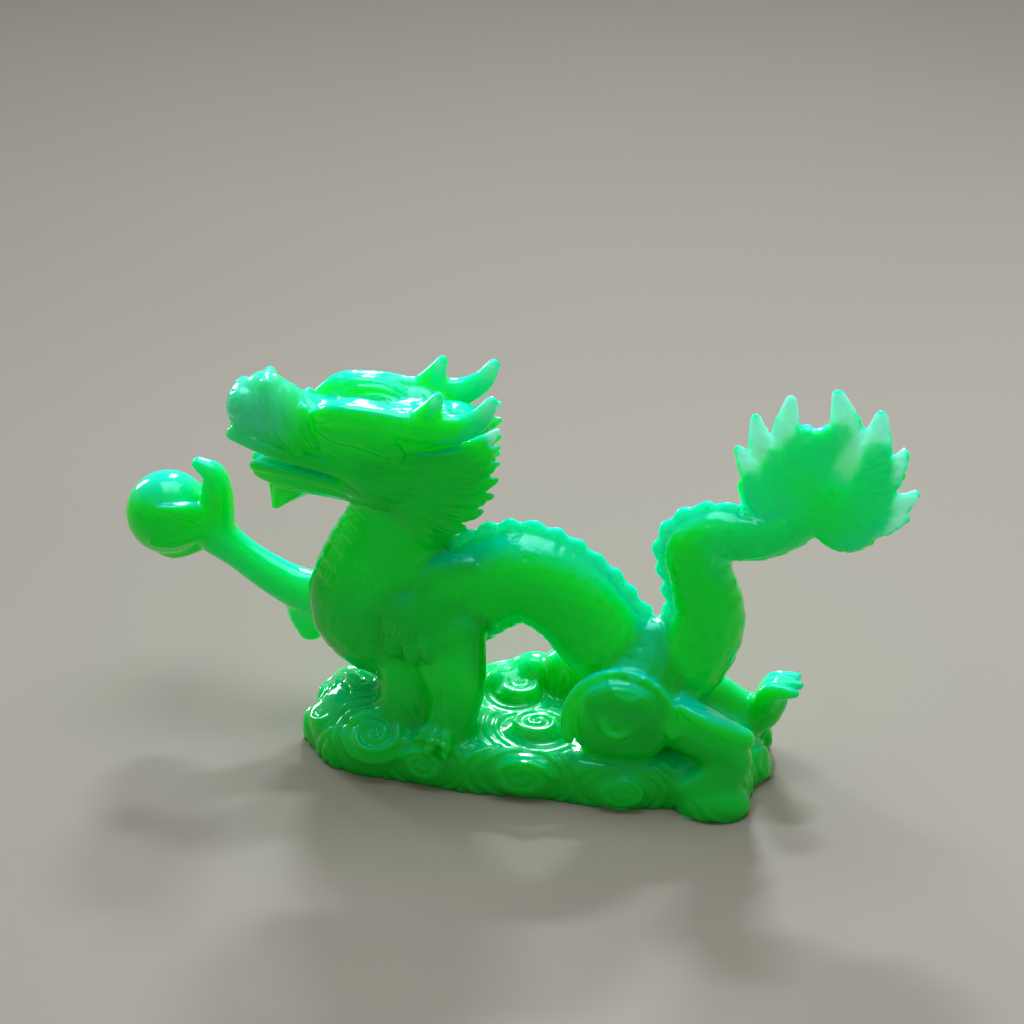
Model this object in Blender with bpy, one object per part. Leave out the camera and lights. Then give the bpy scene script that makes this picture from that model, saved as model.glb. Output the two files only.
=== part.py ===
"""A cast resin dragon, striding over a plinth of clouds with a pearl in its raised claw, all one solid.

The figure faces -X and its near flank faces -Y. It is laid out in carver's units, one of which is
a 52nd of the figure's height, measured from the middle of the plinth's top. It is built up like
clay: closed lofts and blobs are fused by a voxel remesh and smoothed, first the masses and then
the details, and the result is thinned out to a light faceted solid with a flat underside.
"""

import math

import bmesh
import bpy
from mathutils import Matrix, Vector

# Driving dimensions, in metres
PLINTH_LENGTH = 0.0656
PLINTH_DEPTH = 0.0255
PLINTH_HEIGHT = 0.0065
FIGURE_HEIGHT = 0.052
PEARL_DIAMETER = 0.0124
SPINE_HEIGHT = 0.0016
SPINE_PITCH = 0.0032
FAN_THICKNESS = 0.003
HEAD_TURN = math.radians(10)

# Fineness of the clay and of the finished solid
CLAY_GRAIN = 0.0005
MASS_SMOOTHING_ROUNDS = 12
DETAIL_SMOOTHING_ROUNDS = 2
SOLID_TRIANGLES = 9400

# The clay is laid a little below the ground, and all that is there is cut away at the end
CLAY_BELOW_GROUND = 0.0025
GROUND_CUT = 0.02

UNIT = FIGURE_HEIGHT / 52
ACROSS = Vector((0, 1, 0))
UPRIGHT = Vector((0, 0, 1))
LENGTHWISE = Vector((1, 0, 0))
HEAD_PIVOT = Vector((-18, 0, 39.5))

# The plinth seen from above: how square its ends are, and the shallow lobes of its edge
PLINTH_SQUARENESS = 3.2
EDGE_LOBES = 11
EDGE_LOBE_DEPTH = 0.022


def clear_scene():
    for item in list(bpy.data.objects):
        bpy.data.objects.remove(item)


def figure(x, y, z):
    """A place on the figure, from carver's units above the plinth's top."""
    return Vector((x * UNIT, y * UNIT, PLINTH_HEIGHT + z * UNIT))


def head_point(x, y, z):
    """A place on the head, in carver's units from its pivot, after the head's turn."""
    turned = Matrix.Rotation(HEAD_TURN, 3, "Z") @ Vector((x, y, z))
    return figure(*(HEAD_PIVOT + turned))


def plinth(x, y, z):
    """A place on the plinth, as shares of its half length, half depth and height."""
    return Vector((x * PLINTH_LENGTH / 2, y * PLINTH_DEPTH / 2, z * PLINTH_HEIGHT))


# Clay: every form below is a closed shell added to one bmesh

def smooth_between(a, b, c, d, t):
    """The Catmull-Rom curve from b to c."""
    return 0.5 * (
        2 * b + (c - a) * t + (2 * a - 5 * b + 4 * c - d) * t**2 + (3 * b - a - 3 * c + d) * t**3
    )


def sampled(stations, steps):
    """Points and half sizes along the smooth curve through (point, half_width, half_height)."""
    rows = [Vector((*point, wide, high)) for point, wide, high in stations]
    rows = [2 * rows[0] - rows[1], *rows, 2 * rows[-1] - rows[-2]]
    found = []
    for i in range(1, len(rows) - 2):
        count = steps + (i == len(rows) - 3)
        found += [smooth_between(*rows[i - 1 : i + 3], k / steps) for k in range(count)]
    return [(Vector(row[:3]), max(row[3], 1e-4), max(row[4], 1e-4)) for row in found]


def add_ring(clay, centre, side, rise, wide, high, sides):
    turns = [2 * math.pi * k / sides for k in range(sides)]
    return [
        clay.verts.new(centre + side * (wide * math.cos(a)) + rise * (high * math.sin(a)))
        for a in turns
    ]


def loft(clay, stations, reference=ACROSS, steps=4, sides=12):
    """A round-ended tube through stations of (point, half_width, half_height).

    The half width lies along the reference direction and the half height square to it."""
    rows = sampled(stations, steps)
    rings = []
    caps = (0.35, 0.75, 0.95)
    for i, (point, wide, high) in enumerate(rows):
        before, after = rows[max(i - 1, 0)][0], rows[min(i + 1, len(rows) - 1)][0]
        along = (after - before).normalized()
        side = (reference - along * reference.dot(along)).normalized()
        rise = along.cross(side)
        frame = (side, rise)
        end = -1 if i == 0 else (1 if i == len(rows) - 1 else 0)
        deep = min(wide, high)
        grown = [
            (point + along * (end * deep * s), math.sqrt(1 - s * s)) for s in caps
        ] if end else []
        here = [(point, 1.0)]
        for centre, share in (grown[::-1] + here if end < 0 else here + grown):
            rings.append(add_ring(clay, centre, *frame, wide * share, high * share, sides))
        if end < 0:
            first_pole = clay.verts.new(point - along * deep)
        if end > 0:
            last_pole = clay.verts.new(point + along * deep)
    for low, top in zip(rings, rings[1:]):
        for k in range(sides):
            n = (k + 1) % sides
            clay.faces.new((low[k], low[n], top[n], top[k]))
    for k in range(sides):
        n = (k + 1) % sides
        clay.faces.new((first_pole, rings[0][n], rings[0][k]))
        clay.faces.new((last_pole, rings[-1][k], rings[-1][n]))


def blob(clay, centre, radii, lean=0.0, turn=0.0, detail=3):
    """An ellipsoid, leaned about Y and then turned about Z."""
    place = (
        Matrix.Translation(centre)
        @ Matrix.Rotation(turn, 4, "Z")
        @ Matrix.Rotation(lean, 4, "Y")
        @ Matrix.Diagonal((*radii, 1))
    )
    bmesh.ops.create_icosphere(clay, subdivisions=detail, radius=1, matrix=place)


def unit_stations(rows, place=figure):
    """Stations from rows of x, y, z, half_width, half_height in carver's units."""
    return [(place(x, y, z), wide * UNIT, high * UNIT) for x, y, z, wide, high in rows]


def lock(clay, rows, place=figure, reference=ACROSS, sides=8):
    loft(clay, unit_stations(rows, place), reference, steps=3, sides=sides)


def scroll(clay, centre, facing, wide, tall, turns=1.5, thick=0.24, start=0.0, hand=1):
    """A spiral roll of cloud on an oval lying square to the given direction."""
    side = (LENGTHWISE - facing * LENGTHWISE.dot(facing)).normalized()
    rise = facing.cross(side)
    count = int(10 * turns)
    stations = []
    for k in range(count + 1):
        share = k / count
        angle = start + hand * 2 * math.pi * turns * share
        reach = 1 - 0.86 * share
        place = centre + side * (wide * reach * math.cos(angle)) + rise * (tall * reach * math.sin(angle))
        roll = min(wide, tall) * thick * (1 - 0.3 * share)
        stations.append((place + facing * (0.5 * roll * share), roll, roll))
    loft(clay, stations, facing, steps=2, sides=8)


# The masses of the figure

BODY = (
    # x, y, z, half width, half height: neck, chest, hump, loop and tail
    (-13.5, 0, 39.0, 5.0, 6.4),
    (-16.8, 0, 33.5, 5.2, 6.8),
    (-19.4, 0, 27.0, 5.6, 7.8),
    (-22.2, 0, 20.5, 6.2, 8.6),
    (-23.8, 0, 14.4, 6.8, 8.8),
    (-19.0, 0, 11.8, 7.0, 8.0),
    (-14.0, 0.2, 14.6, 6.8, 7.6),
    (-7.6, 0.4, 19.2, 6.4, 7.2),
    (-1.4, 0.6, 21.6, 6.2, 7.0),
    (5.0, 0.4, 18.4, 6.1, 6.8),
    (10.2, 0, 12.8, 6.2, 6.8),
    (16.2, 0, 8.2, 6.2, 6.4),
    (21.2, 0, 10.8, 5.8, 5.8),
    (24.0, 0, 17.4, 5.2, 5.2),
    (22.9, 0, 23.6, 4.6, 4.5),
    (21.7, 0, 28.4, 4.0, 4.3),
    (24.6, 0, 31.0, 3.6, 3.7),
    (29.5, 0, 30.8, 3.3, 3.6),
    (34.4, 0.3, 32.4, 2.8, 3.0),
    (38.0, 0.5, 35.6, 2.0, 2.6),
)


def add_body(clay):
    loft(clay, unit_stations(BODY), steps=4, sides=18)


def add_near_foreleg(clay):
    """Planted on the plinth beside a pillar of cloud that props the chest."""
    blob(clay, figure(-14.5, -4.6, 15.2), (7.4 * UNIT, 4.2 * UNIT, 6.2 * UNIT))
    blob(clay, figure(-12.6, -4.0, 21.0), (6.4 * UNIT, 3.0 * UNIT, 4.0 * UNIT), lean=-0.75)
    lock(clay, (
        (-11.6, -5.6, 14.4, 3.6, 6.0),
        (-10.3, -6.8, 9.0, 3.2, 4.9),
        (-9.9, -7.6, 4.4, 2.9, 3.8),
        (-11.0, -8.2, 0.2, 3.0, 3.4),
    ), sides=12)
    lock(clay, (
        (-18.4, -2.6, 10.0, 4.6, 4.4),
        (-17.6, -3.8, 5.0, 4.2, 4.0),
        (-17.6, -4.4, -0.5, 4.8, 5.4),
    ), sides=12)


def add_far_arm(clay):
    """Reaches forwards and up to hold out the pearl."""
    lock(clay, (
        (-24.0, 4.4, 13.0, 4.2, 5.4),
        (-30.0, 6.2, 11.2, 3.6, 4.4),
        (-36.0, 7.0, 12.0, 3.0, 3.4),
        (-41.0, 7.4, 14.2, 2.7, 2.9),
        (-45.4, 7.8, 16.9, 2.5, 2.7),
        (-48.6, 8.2, 19.0, 3.0, 3.2),
    ), sides=12)
    blob(clay, figure(-49.6, 8.4, 20.6), (3.4 * UNIT, 3.6 * UNIT, 4.0 * UNIT), lean=-0.6)


def add_far_foreleg_shoulder(clay):
    blob(clay, figure(-22.5, 4.6, 14.0), (6.6 * UNIT, 4.2 * UNIT, 6.2 * UNIT))


def add_hind_legs(clay):
    """The near leg kneels at the plinth's end and the far one kicks out behind it."""
    lock(clay, (
        (17.6, -0.8, 14.0, 3.2, 5.0),
        (16.8, -2.8, 11.0, 4.1, 6.4),
        (15.6, -5.2, 8.0, 4.2, 6.6),
        (15.6, -6.6, 5.0, 3.2, 5.0),
    ), sides=14)
    lock(clay, (
        (17.0, -5.6, 5.8, 3.2, 4.6),
        (22.4, -7.4, 4.7, 3.3, 4.0),
        (27.0, -8.2, 3.0, 3.3, 3.6),
        (28.8, -8.6, 0.4, 2.8, 3.2),
    ), sides=12)
    lock(clay, (
        (29.0, -9.4, 0.6, 1.8, 2.8),
        (26.2, -10.6, -1.6, 1.8, 2.4),
        (22.8, -11.3, -3.4, 1.4, 1.8),
    ), sides=10)
    blob(clay, figure(15.5, 4.4, 7.4), (7.0 * UNIT, 4.2 * UNIT, 6.0 * UNIT))
    lock(clay, (
        (18.0, 4.0, 5.4, 3.2, 4.4),
        (24.5, 4.4, 2.8, 2.8, 3.6),
        (28.6, 4.4, 0.4, 2.8, 3.4),
        (31.4, 4.2, 0.6, 2.6, 3.0),
        (33.2, 4.0, 3.4, 2.3, 2.4),
    ), sides=12)


def add_head_mass(clay):
    """Skull, muzzle and jaw; the mouth is cast almost closed, with a notch at the front."""
    loft(clay, unit_stations((
        (6.0, 0, -1.0, 6.0, 8.0),
        (-1.0, 0, 0.8, 6.2, 6.8),
        (-6.5, 0, 2.2, 5.6, 5.6),
        (-11.0, 0, 3.0, 4.4, 4.5),
        (-14.8, 0, 4.2, 4.0, 4.1),
        (-18.4, 0, 6.0, 3.8, 4.7),
        (-21.0, 0, 6.0, 3.2, 4.2),
    ), head_point), steps=4, sides=16)
    loft(clay, unit_stations((
        (2.0, 0, -6.2, 5.4, 3.6),
        (-5.0, 0, -4.6, 4.6, 3.6),
        (-11.0, 0, -3.9, 3.6, 3.2),
        (-16.0, 0, -3.6, 2.9, 2.6),
        (-19.6, 0, -3.0, 1.9, 1.7),
    ), head_point), steps=4, sides=12)
    # flesh between the skull and the upper lip
    loft(clay, unit_stations((
        (-0.5, 0, -0.6, 5.6, 3.0),
        (-6.0, 0, 0.6, 4.7, 2.8),
        (-11.0, 0, 1.4, 3.9, 2.4),
        (-16.0, 0, 2.4, 3.4, 2.2),
        (-20.6, 0, 4.0, 2.7, 1.9),
    ), head_point), steps=4, sides=12)
    # cheek, brow and the antler's root
    for side in (-1, 1):
        blob(clay, head_point(-3.0, side * 4.2, -2.0), (6.4 * UNIT, 3.2 * UNIT, 5.0 * UNIT))
        blob(clay, head_point(-5.6, side * 4.2, 5.6), (6.0 * UNIT, 2.4 * UNIT, 3.1 * UNIT), lean=0.08)
        blob(clay, head_point(1.5, side * 4.6, 4.6), (4.4 * UNIT, 2.2 * UNIT, 2.6 * UNIT))


def plinth_outline(angle):
    """The plinth's edge as a rounded oblong with shallow cloud lobes, in shares of its half size."""
    c, s = math.cos(angle), math.sin(angle)
    power = PLINTH_SQUARENESS
    reach = (abs(c) ** power + abs(s) ** power) ** (-1 / power)
    reach *= 1 + EDGE_LOBE_DEPTH * math.cos(EDGE_LOBES * angle + 0.6)
    return reach * c, reach * s


def add_plinth(clay):
    below = -CLAY_BELOW_GROUND / PLINTH_HEIGHT
    levels = ((below, 1.0), (0.0, 1.0), (0.35, 1.01), (0.7, 0.985), (0.92, 0.93), (1.0, 0.84))
    around = 72
    rings = []
    for height, spread in levels:
        ring = []
        for k in range(around):
            x, y = plinth_outline(2 * math.pi * k / around)
            ring.append(clay.verts.new(plinth(x * spread, y * spread, height)))
        rings.append(ring)
    for low, top in zip(rings, rings[1:]):
        for k in range(around):
            n = (k + 1) % around
            clay.faces.new((low[k], low[n], top[n], top[k]))
    clay.faces.new(rings[0][::-1])
    clay.faces.new(rings[-1])


MOUNDS = (
    # x, y, z, then half sizes: puffs of cloud that carry the figure
    (-24.2, 0.5, -1.2, 7.0, 9.0, 4.2),
    (-18.6, 0.0, 0.4, 5.6, 6.6, 4.6),
    (-9.5, -4.5, -1.2, 6.5, 5.5, 2.4),
    (-5.5, 6.6, 0.0, 4.6, 4.0, 2.8),
    (-1.6, 8.4, 1.2, 3.6, 3.2, 3.0),
    (3.4, 7.6, 1.8, 4.0, 4.0, 4.8),
    (4.0, -3.0, -2.4, 7.0, 6.0, 3.2),
    (13.0, 3.0, 0.0, 7.5, 6.0, 4.6),
    (20.0, 0.0, 0.0, 8.0, 6.5, 4.0),
    (26.8, 1.0, -1.8, 4.4, 7.5, 3.4),
    (26.6, -10.2, -5.4, 5.4, 3.9, 3.8),
)


def add_mounds(clay):
    for x, y, z, *radii in MOUNDS:
        blob(clay, figure(x, y, z), [r * UNIT for r in radii])


# The details of the figure

def pearl_centre():
    """The pearl touches the palm whatever its size."""
    palm = figure(-50.2, 8.7, 20.9)
    return palm + Vector((-0.995, 0.05, 0.13)).normalized() * (PEARL_DIAMETER / 2 - 0.3 * UNIT)


def add_pearl(clay):
    blob(clay, pearl_centre(), [PEARL_DIAMETER / 2] * 3, detail=4)


def add_finger(clay, spread, bend, start=(-48.4, 8.2, 19.6), thick=1.6):
    """A claw that lies round the pearl: spread picks its meridian and bend how far it reaches."""
    centre, radius = pearl_centre(), PEARL_DIAMETER / 2
    out = Vector((0, math.cos(spread), math.sin(spread)))
    stations = [(figure(*start), thick * UNIT, thick * UNIT)]
    for share in (0.4, 0.72, 1.0):
        angle = share * bend
        place = centre + (LENGTHWISE * math.cos(angle) + out * math.sin(angle)) * (radius + 0.2 * UNIT)
        wide = thick * (1 - 0.62 * share**2) * UNIT
        stations.append((place, wide, 0.72 * wide))
    loft(clay, stations, LENGTHWISE.cross(out), steps=3, sides=8)


def add_pearl_claw(clay):
    """Four claws wrap the pearl from the palm, and the thumb stands up behind it."""
    for spread, bend in ((200, 96), (150, 84), (262, 118), (-20, 84)):
        add_finger(clay, math.radians(spread), math.radians(bend))
    lock(clay, (
        (-48.2, 8.2, 21.0, 2.6, 2.4),
        (-48.2, 8.2, 25.6, 2.4, 2.4),
        (-48.6, 8.3, 28.8, 2.0, 1.8),
        (-50.8, 8.5, 30.2, 1.3, 1.0),
    ))


def add_elbow_tuft(clay):
    lock(clay, (
        (-33.2, 6.4, 12.5, 1.6, 4.6),
        (-34.8, 6.6, 8.4, 1.5, 3.6),
        (-34.6, 6.4, 5.0, 1.0, 1.9),
    ))


def add_paw(clay, wrist, toes, splay, reach, droop):
    """Toes fan out from the wrist, each a curved digit with a claw."""
    heading = math.atan2(toes[1], toes[0])
    for k in (-1, 0, 1):
        angle = heading + k * splay
        ahead = Vector((math.cos(angle), math.sin(angle)))
        rows = []
        for share, lift, size in ((0, 0.6, 1.5), (0.45, 0.9, 1.35), (0.8, 0.2, 1.1), (1.1, -droop, 0.6)):
            x = wrist[0] + ahead.x * reach * share
            y = wrist[1] + ahead.y * reach * share
            rows.append((x, y, wrist[2] + lift, size, size))
        lock(clay, rows, reference=Vector((-ahead.y, ahead.x, 0)))


def add_shin_ridge(clay):
    """The kneeling shin has a leaf-like upper edge."""
    lock(clay, (
        (21.6, -9.0, 8.6, 0.5, 0.5),
        (24.2, -9.3, 7.3, 1.5, 1.2),
        (27.6, -9.2, 5.8, 1.8, 1.5),
        (30.4, -8.8, 4.4, 1.5, 1.5),
    ))


def add_paws(clay):
    """The near fore paw grips the plinth's edge, and the far hind one curls up its claws."""
    add_paw(clay, (-11.2, -8.6, 0.2), (-0.35, -0.9), splay=0.6, reach=4.2, droop=1.0)
    for k in (-1, 0, 1):
        lock(clay, (
            (32.4, 4.0 + k * 1.3, 3.0, 1.4, 1.8),
            (33.2 + 0.2 * k, 4.0 + k * 1.6, 5.2, 1.3, 1.6),
            (36.8 - 0.5 * abs(k), 4.0 + k * 1.8, 5.9 + 0.3 * k, 0.7, 0.7),
        ))


def back_line():
    """Rows along the back: distance travelled, the back's crest and its upward side."""
    rows = sampled(unit_stations(BODY), 24)
    found = []
    travelled = 0.0
    for (a, _, high), (b, _, _) in zip(rows, rows[1:]):
        along = (b - a).normalized()
        rise = along.cross(ACROSS).normalized()
        crest = a + rise * high
        if found:
            travelled += (crest - found[-1][1]).length
        found.append((travelled, crest, rise))
    return found


# Where the fin runs, as shares of the body's length, and how deep it is rooted
FIN_SPAN = (0.27, 0.97)
FIN_ROOT = 1.4 * UNIT


def add_spines(clay):
    """A low fin along the back, its edge cut into blunt teeth that lean towards the tail."""
    line = back_line()
    length = line[-1][0]
    first, last = FIN_SPAN[0] * length, FIN_SPAN[1] * length
    count = int(6 * (last - first) / SPINE_PITCH)
    stations = []
    for k in range(count + 1):
        share = k / count
        target = first + share * (last - first)
        _, crest, rise = min(line, key=lambda row: abs(row[0] - target))
        turn = (target / SPINE_PITCH) % 1.0
        tooth = min(turn / 0.68, (1 - turn) / 0.32)
        size = min(1.0, 0.3 + 3.0 * (1 - share), 0.5 + 5.0 * share)
        top = SPINE_HEIGHT * size * (0.3 + 0.7 * tooth)
        stations.append((crest + rise * (0.5 * (top - FIN_ROOT)), 0.95 * UNIT, 0.5 * (top + FIN_ROOT)))
    loft(clay, stations, steps=1, sides=10)


FAN_TIPS = (
    # x, z of each flame's tip and its half width
    (27.6, 38.4, 3.0),
    (26.8, 43.3, 1.9),
    (28.9, 48.0, 2.0),
    (33.4, 51.0, 2.1),
    (39.2, 52.3, 2.4),
    (45.0, 49.8, 2.4),
    (48.4, 44.6, 2.2),
    (50.4, 38.8, 2.1),
    (49.4, 35.2, 1.9),
    (45.2, 31.6, 2.5),
)
FAN_MIDDLE = (38.6, 38.0)
FAN_ROOT = (38.0, 34.6)


def add_tail_fan(clay):
    """A round fan of flames, thick at the root and thin at the tips."""
    x0, z0 = FAN_MIDDLE
    blob(clay, figure(x0, 0.5, z0 + 1.4), (8.5 * UNIT, FAN_THICKNESS / 2, 8.0 * UNIT), detail=4)
    blob(clay, figure(38.0, 0.5, 36.2), (4.8 * UNIT, 2.4 * UNIT, 4.6 * UNIT))
    thick = 0.47 * FAN_THICKNESS / UNIT
    for x, z, wide in FAN_TIPS:
        across, upwards = x - FAN_ROOT[0], z - FAN_ROOT[1]
        outward = math.copysign(0.13, x - x0)
        rows = []
        for share, deep, broad in ((0.35, 1.0, 0.9), (0.7, 0.8, 0.98), (0.88, 0.62, 0.64), (1.0, 0.42, 0.36)):
            bow = outward * math.sin(math.pi * share)
            rows.append((x - (1 - share) * across + bow * upwards, 0.5,
                         z - (1 - share) * upwards - bow * across, deep * thick, broad * wide))
        lock(clay, rows)


def add_face(clay):
    for side in (-1, 1):
        # brow ridge and eye
        lock(clay, (
            (-11.2, side * 3.8, 6.8, 1.1, 1.2),
            (-8.6, side * 5.0, 7.7, 1.5, 1.4),
            (-4.4, side * 5.6, 7.4, 1.6, 1.4),
            (-0.4, side * 5.8, 6.4, 1.6, 1.6),
        ), head_point)
        blob(clay, head_point(-7.6, side * 4.7, 5.2), (2.6 * UNIT, 1.5 * UNIT, 1.5 * UNIT))
        # antler with two tines
        lock(clay, (
            (-1.5, side * 5.7, 6.2, 1.5, 1.9),
            (3.0, side * 5.9, 5.7, 1.8, 2.3),
            (7.4, side * 6.1, 5.8, 1.6, 2.0),
            (10.2, side * 6.2, 7.3, 1.3, 1.6),
            (11.8, side * 6.3, 9.6, 0.9, 1.0),
        ), head_point)
        lock(clay, (
            (2.8, side * 5.9, 6.4, 1.6, 2.5),
            (3.9, side * 6.0, 8.5, 1.3, 1.5),
            (4.8, side * 6.1, 10.2, 0.9, 0.9),
        ), head_point)
        # ear
        lock(clay, (
            (-5.6, side * 5.4, 3.4, 0.8, 0.7),
            (-2.6, side * 6.4, 3.2, 0.9, 1.2),
            (-1.0, side * 6.8, 2.2, 0.7, 1.0),
            (-1.4, side * 6.8, 1.0, 0.4, 0.4),
        ), head_point)
        # nostril, fold of the muzzle and the lip
        blob(clay, head_point(-21.6, side * 2.0, 7.2), (2.0 * UNIT, 1.8 * UNIT, 2.4 * UNIT))
        lock(clay, (
            (-18.2, side * 2.0, 10.2, 0.9, 0.9),
            (-17.2, side * 3.4, 7.0, 0.8, 0.8),
            (-16.4, side * 3.9, 4.2, 0.8, 0.8),
            (-14.0, side * 4.0, 1.4, 0.8, 0.8),
        ), head_point)
        lock(clay, (
            (-23.4, side * 1.8, 2.9, 0.7, 1.0),
            (-20.0, side * 3.2, 1.9, 0.7, 1.0),
            (-15.6, side * 3.8, 0.4, 0.7, 1.0),
            (-11.0, side * 4.4, -0.6, 0.7, 1.0),
            (-4.6, side * 5.6, -2.6, 0.7, 0.9),
        ), head_point)
    blob(clay, head_point(-18.6, 0, 9.2), (2.6 * UNIT, 2.6 * UNIT, 1.9 * UNIT))
    # forehead crest
    lock(clay, (
        (-10.6, 0, 5.2, 2.6, 1.6),
        (-4.0, 0, 6.4, 3.0, 2.0),
        (4.0, 0, 5.4, 3.2, 2.0),
    ), head_point)
    # beard under the chin
    lock(clay, (
        (-15.7, 0, -4.3, 2.3, 4.1),
        (-16.9, 0, -6.5, 1.6, 2.4),
        (-18.1, 0, -8.8, 0.6, 0.7),
    ), head_point)


MANE_LOCKS = 8


def mane_tip(share):
    """Tips run down a nearly straight edge behind the cheek and curve in at the bottom."""
    return 12.5 - 8.6 * share**4, 4.4 - 17.2 * share


def add_mane(clay):
    """Locks sweep back from the cheeks on both sides, with fuller ones down the nape between."""
    for side in (-1, 1):
        for k in range(MANE_LOCKS):
            share = k / (MANE_LOCKS - 1)
            x, z = mane_tip(share)
            wide = 5.6 - 0.8 * share
            lock(clay, (
                (-3.0, side * 4.8, 1.0 - 4.4 * share, 1.3, 1.7),
                (0.45 * x - 0.6, side * (wide + 0.6), 0.5 * z - 1.4, 1.5, 1.9),
                (0.78 * x, side * wide * 0.95, 0.82 * z - 0.9, 1.3, 1.5),
                (x, side * wide * 0.8, z + 0.3, 0.6, 0.6),
            ), head_point)
    for k in range(4):
        x, z = mane_tip((k + 0.5) / 4)
        lock(clay, (
            (2.0, 0, -1.0 - k, 3.0, 2.6),
            (0.6 * x, 0, 0.62 * z, 3.0, 2.6),
            (0.94 * x, 0, 0.9 * z, 1.2, 0.8),
        ), head_point)


SHOULDER_TUFTS = (
    # x, y, z of each hanging curl's tip and its length
    (-21.6, -6.4, 13.0, 4.2),
    (-18.4, -7.6, 11.2, 4.6),
    (-15.6, -8.4, 10.8, 4.8),
    (-13.2, -8.7, 11.4, 5.0),
    (-10.4, -8.3, 12.0, 4.6),
)


def add_shoulder_tufts(clay):
    """Curls of hair hang over the top of each fore leg, the same on both flanks."""
    for x, y, z, length in SHOULDER_TUFTS:
        for side in (1, -1):
            lock(clay, (
                (x + 0.6, side * (y + 3.4), z + length, 1.2, 1.4),
                (x - 0.2, side * (y + 0.6), z + 0.55 * length, 1.3, 1.6),
                (x, side * y, z + 0.9, 1.0, 1.2),
                (x + 0.6, side * (y + 0.3), z, 0.5, 0.6),
            ))


def add_haunch_disc(clay):
    """The large bowl of cloud, rimmed and curled inside, that cradles the near haunch."""
    centre = figure(13.4, -9.2, 5.2)
    facing = Vector((0.1, -0.93, 0.37)).normalized()
    rise = LENGTHWISE.cross(facing)
    blob(clay, centre, (7.2 * UNIT, 2.6 * UNIT, 6.6 * UNIT))
    rim = []
    for k in range(13):
        angle = math.radians(158 + 208 * k / 12)
        place = centre + (LENGTHWISE * (7.3 * math.cos(angle)) + rise * (6.9 * math.sin(angle))) * UNIT
        rim.append((place + facing * (1.3 * UNIT), 0.9 * UNIT, 0.9 * UNIT))
    loft(clay, rim, facing, steps=2, sides=10)
    scroll(clay, centre + facing * (2.5 * UNIT), facing, 3.4 * UNIT, 2.8 * UNIT, turns=1.3)


SIDE_SCROLLS = (
    # degrees round the plinth, height share, half width, half height, start turn and hand
    (-114, 0.50, 3.7, 2.6, 2.8, -1),
    (-89, 0.50, 5.2, 3.0, 0.2, 1),
    (-66, 0.40, 4.0, 2.4, 1.5, -1),
    (-40, 0.42, 3.7, 2.7, 0.4, 1),
    (-4, 0.26, 2.8, 2.0, 2.6, -1),
    (30, 0.42, 3.8, 2.8, 1.0, 1),
    (64, 0.40, 4.2, 2.6, 0.8, -1),
    (88, 0.40, 4.6, 2.6, 2.2, 1),
    (112, 0.40, 4.0, 2.6, 0.2, -1),
    (146, 0.50, 4.4, 3.2, 1.4, 1),
    (176, 0.46, 4.2, 3.0, 2.4, -1),
)
TOP_SCROLLS = (
    # x, y and z as shares of the plinth, half width, half height, uprightness, start and hand
    (-0.64, -0.76, 0.82, 5.0, 4.2, 0.9, 2.6, -1),
    (-0.88, -0.34, 0.72, 3.6, 3.4, 1.0, 1.0, 1),
    (0.04, -0.42, 1.05, 4.4, 3.4, 3.0, 0.6, 1),
    (-0.10, 0.30, 1.05, 3.6, 3.2, 3.0, 2.0, -1),
)


def add_curl(clay, centre, facing, wide, tall, start, hand):
    """A cloud's curl: an oval cushion with a spiral roll on it."""
    cushion = Matrix.Translation(centre) @ facing.to_track_quat("Z", "Y").to_matrix().to_4x4()
    size = Matrix.Diagonal((wide * UNIT, tall * UNIT, 1.3 * UNIT, 1))
    bmesh.ops.create_icosphere(clay, subdivisions=3, radius=1, matrix=cushion @ size)
    scroll(clay, centre + facing * (0.9 * UNIT), facing, 0.82 * wide * UNIT, 0.82 * tall * UNIT,
           start=start, hand=hand)


def add_plinth_scrolls(clay):
    """Flat curls of cloud round the plinth's side, larger ones on its shoulders and top."""
    for degrees, z, wide, tall, start, hand in SIDE_SCROLLS:
        x, y = plinth_outline(math.radians(degrees))
        before = plinth(*plinth_outline(math.radians(degrees - 5)), 0)
        after = plinth(*plinth_outline(math.radians(degrees + 5)), 0)
        facing = ((after - before).cross(UPRIGHT).normalized() + 0.2 * UPRIGHT).normalized()
        add_curl(clay, plinth(0.97 * x, 0.97 * y, z), facing, wide, tall, start, hand)
    for x, y, z, wide, tall, upright, start, hand in TOP_SCROLLS:
        facing = Vector((x**7, y * abs(y), upright)).normalized()
        add_curl(clay, plinth(x, y, z), facing, wide, tall, start, hand)


# From clay to a solid

def object_from(clay, name):
    bmesh.ops.recalc_face_normals(clay, faces=clay.faces)
    mesh = bpy.data.meshes.new(name)
    clay.to_mesh(mesh)
    clay.free()
    made = bpy.data.objects.new(name, mesh)
    bpy.context.scene.collection.objects.link(made)
    return made


def fuse(item, grain, rounds):
    remesh = item.modifiers.new("Fuse", "REMESH")
    remesh.mode = "VOXEL"
    remesh.voxel_size = grain
    soften = item.modifiers.new("Soften", "SMOOTH")
    soften.iterations = round(rounds)


def evaluated_mesh(item):
    bpy.context.view_layer.update()
    graph = bpy.context.evaluated_depsgraph_get()
    return bpy.data.meshes.new_from_object(item.evaluated_get(graph))


def build_masses():
    clay = bmesh.new()
    add_plinth(clay)
    add_mounds(clay)
    add_body(clay)
    add_near_foreleg(clay)
    add_far_foreleg_shoulder(clay)
    add_far_arm(clay)
    add_hind_legs(clay)
    add_head_mass(clay)
    masses = object_from(clay, "masses")
    fuse(masses, CLAY_GRAIN, MASS_SMOOTHING_ROUNDS)
    mesh = evaluated_mesh(masses)
    bpy.data.objects.remove(masses)
    return mesh


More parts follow.
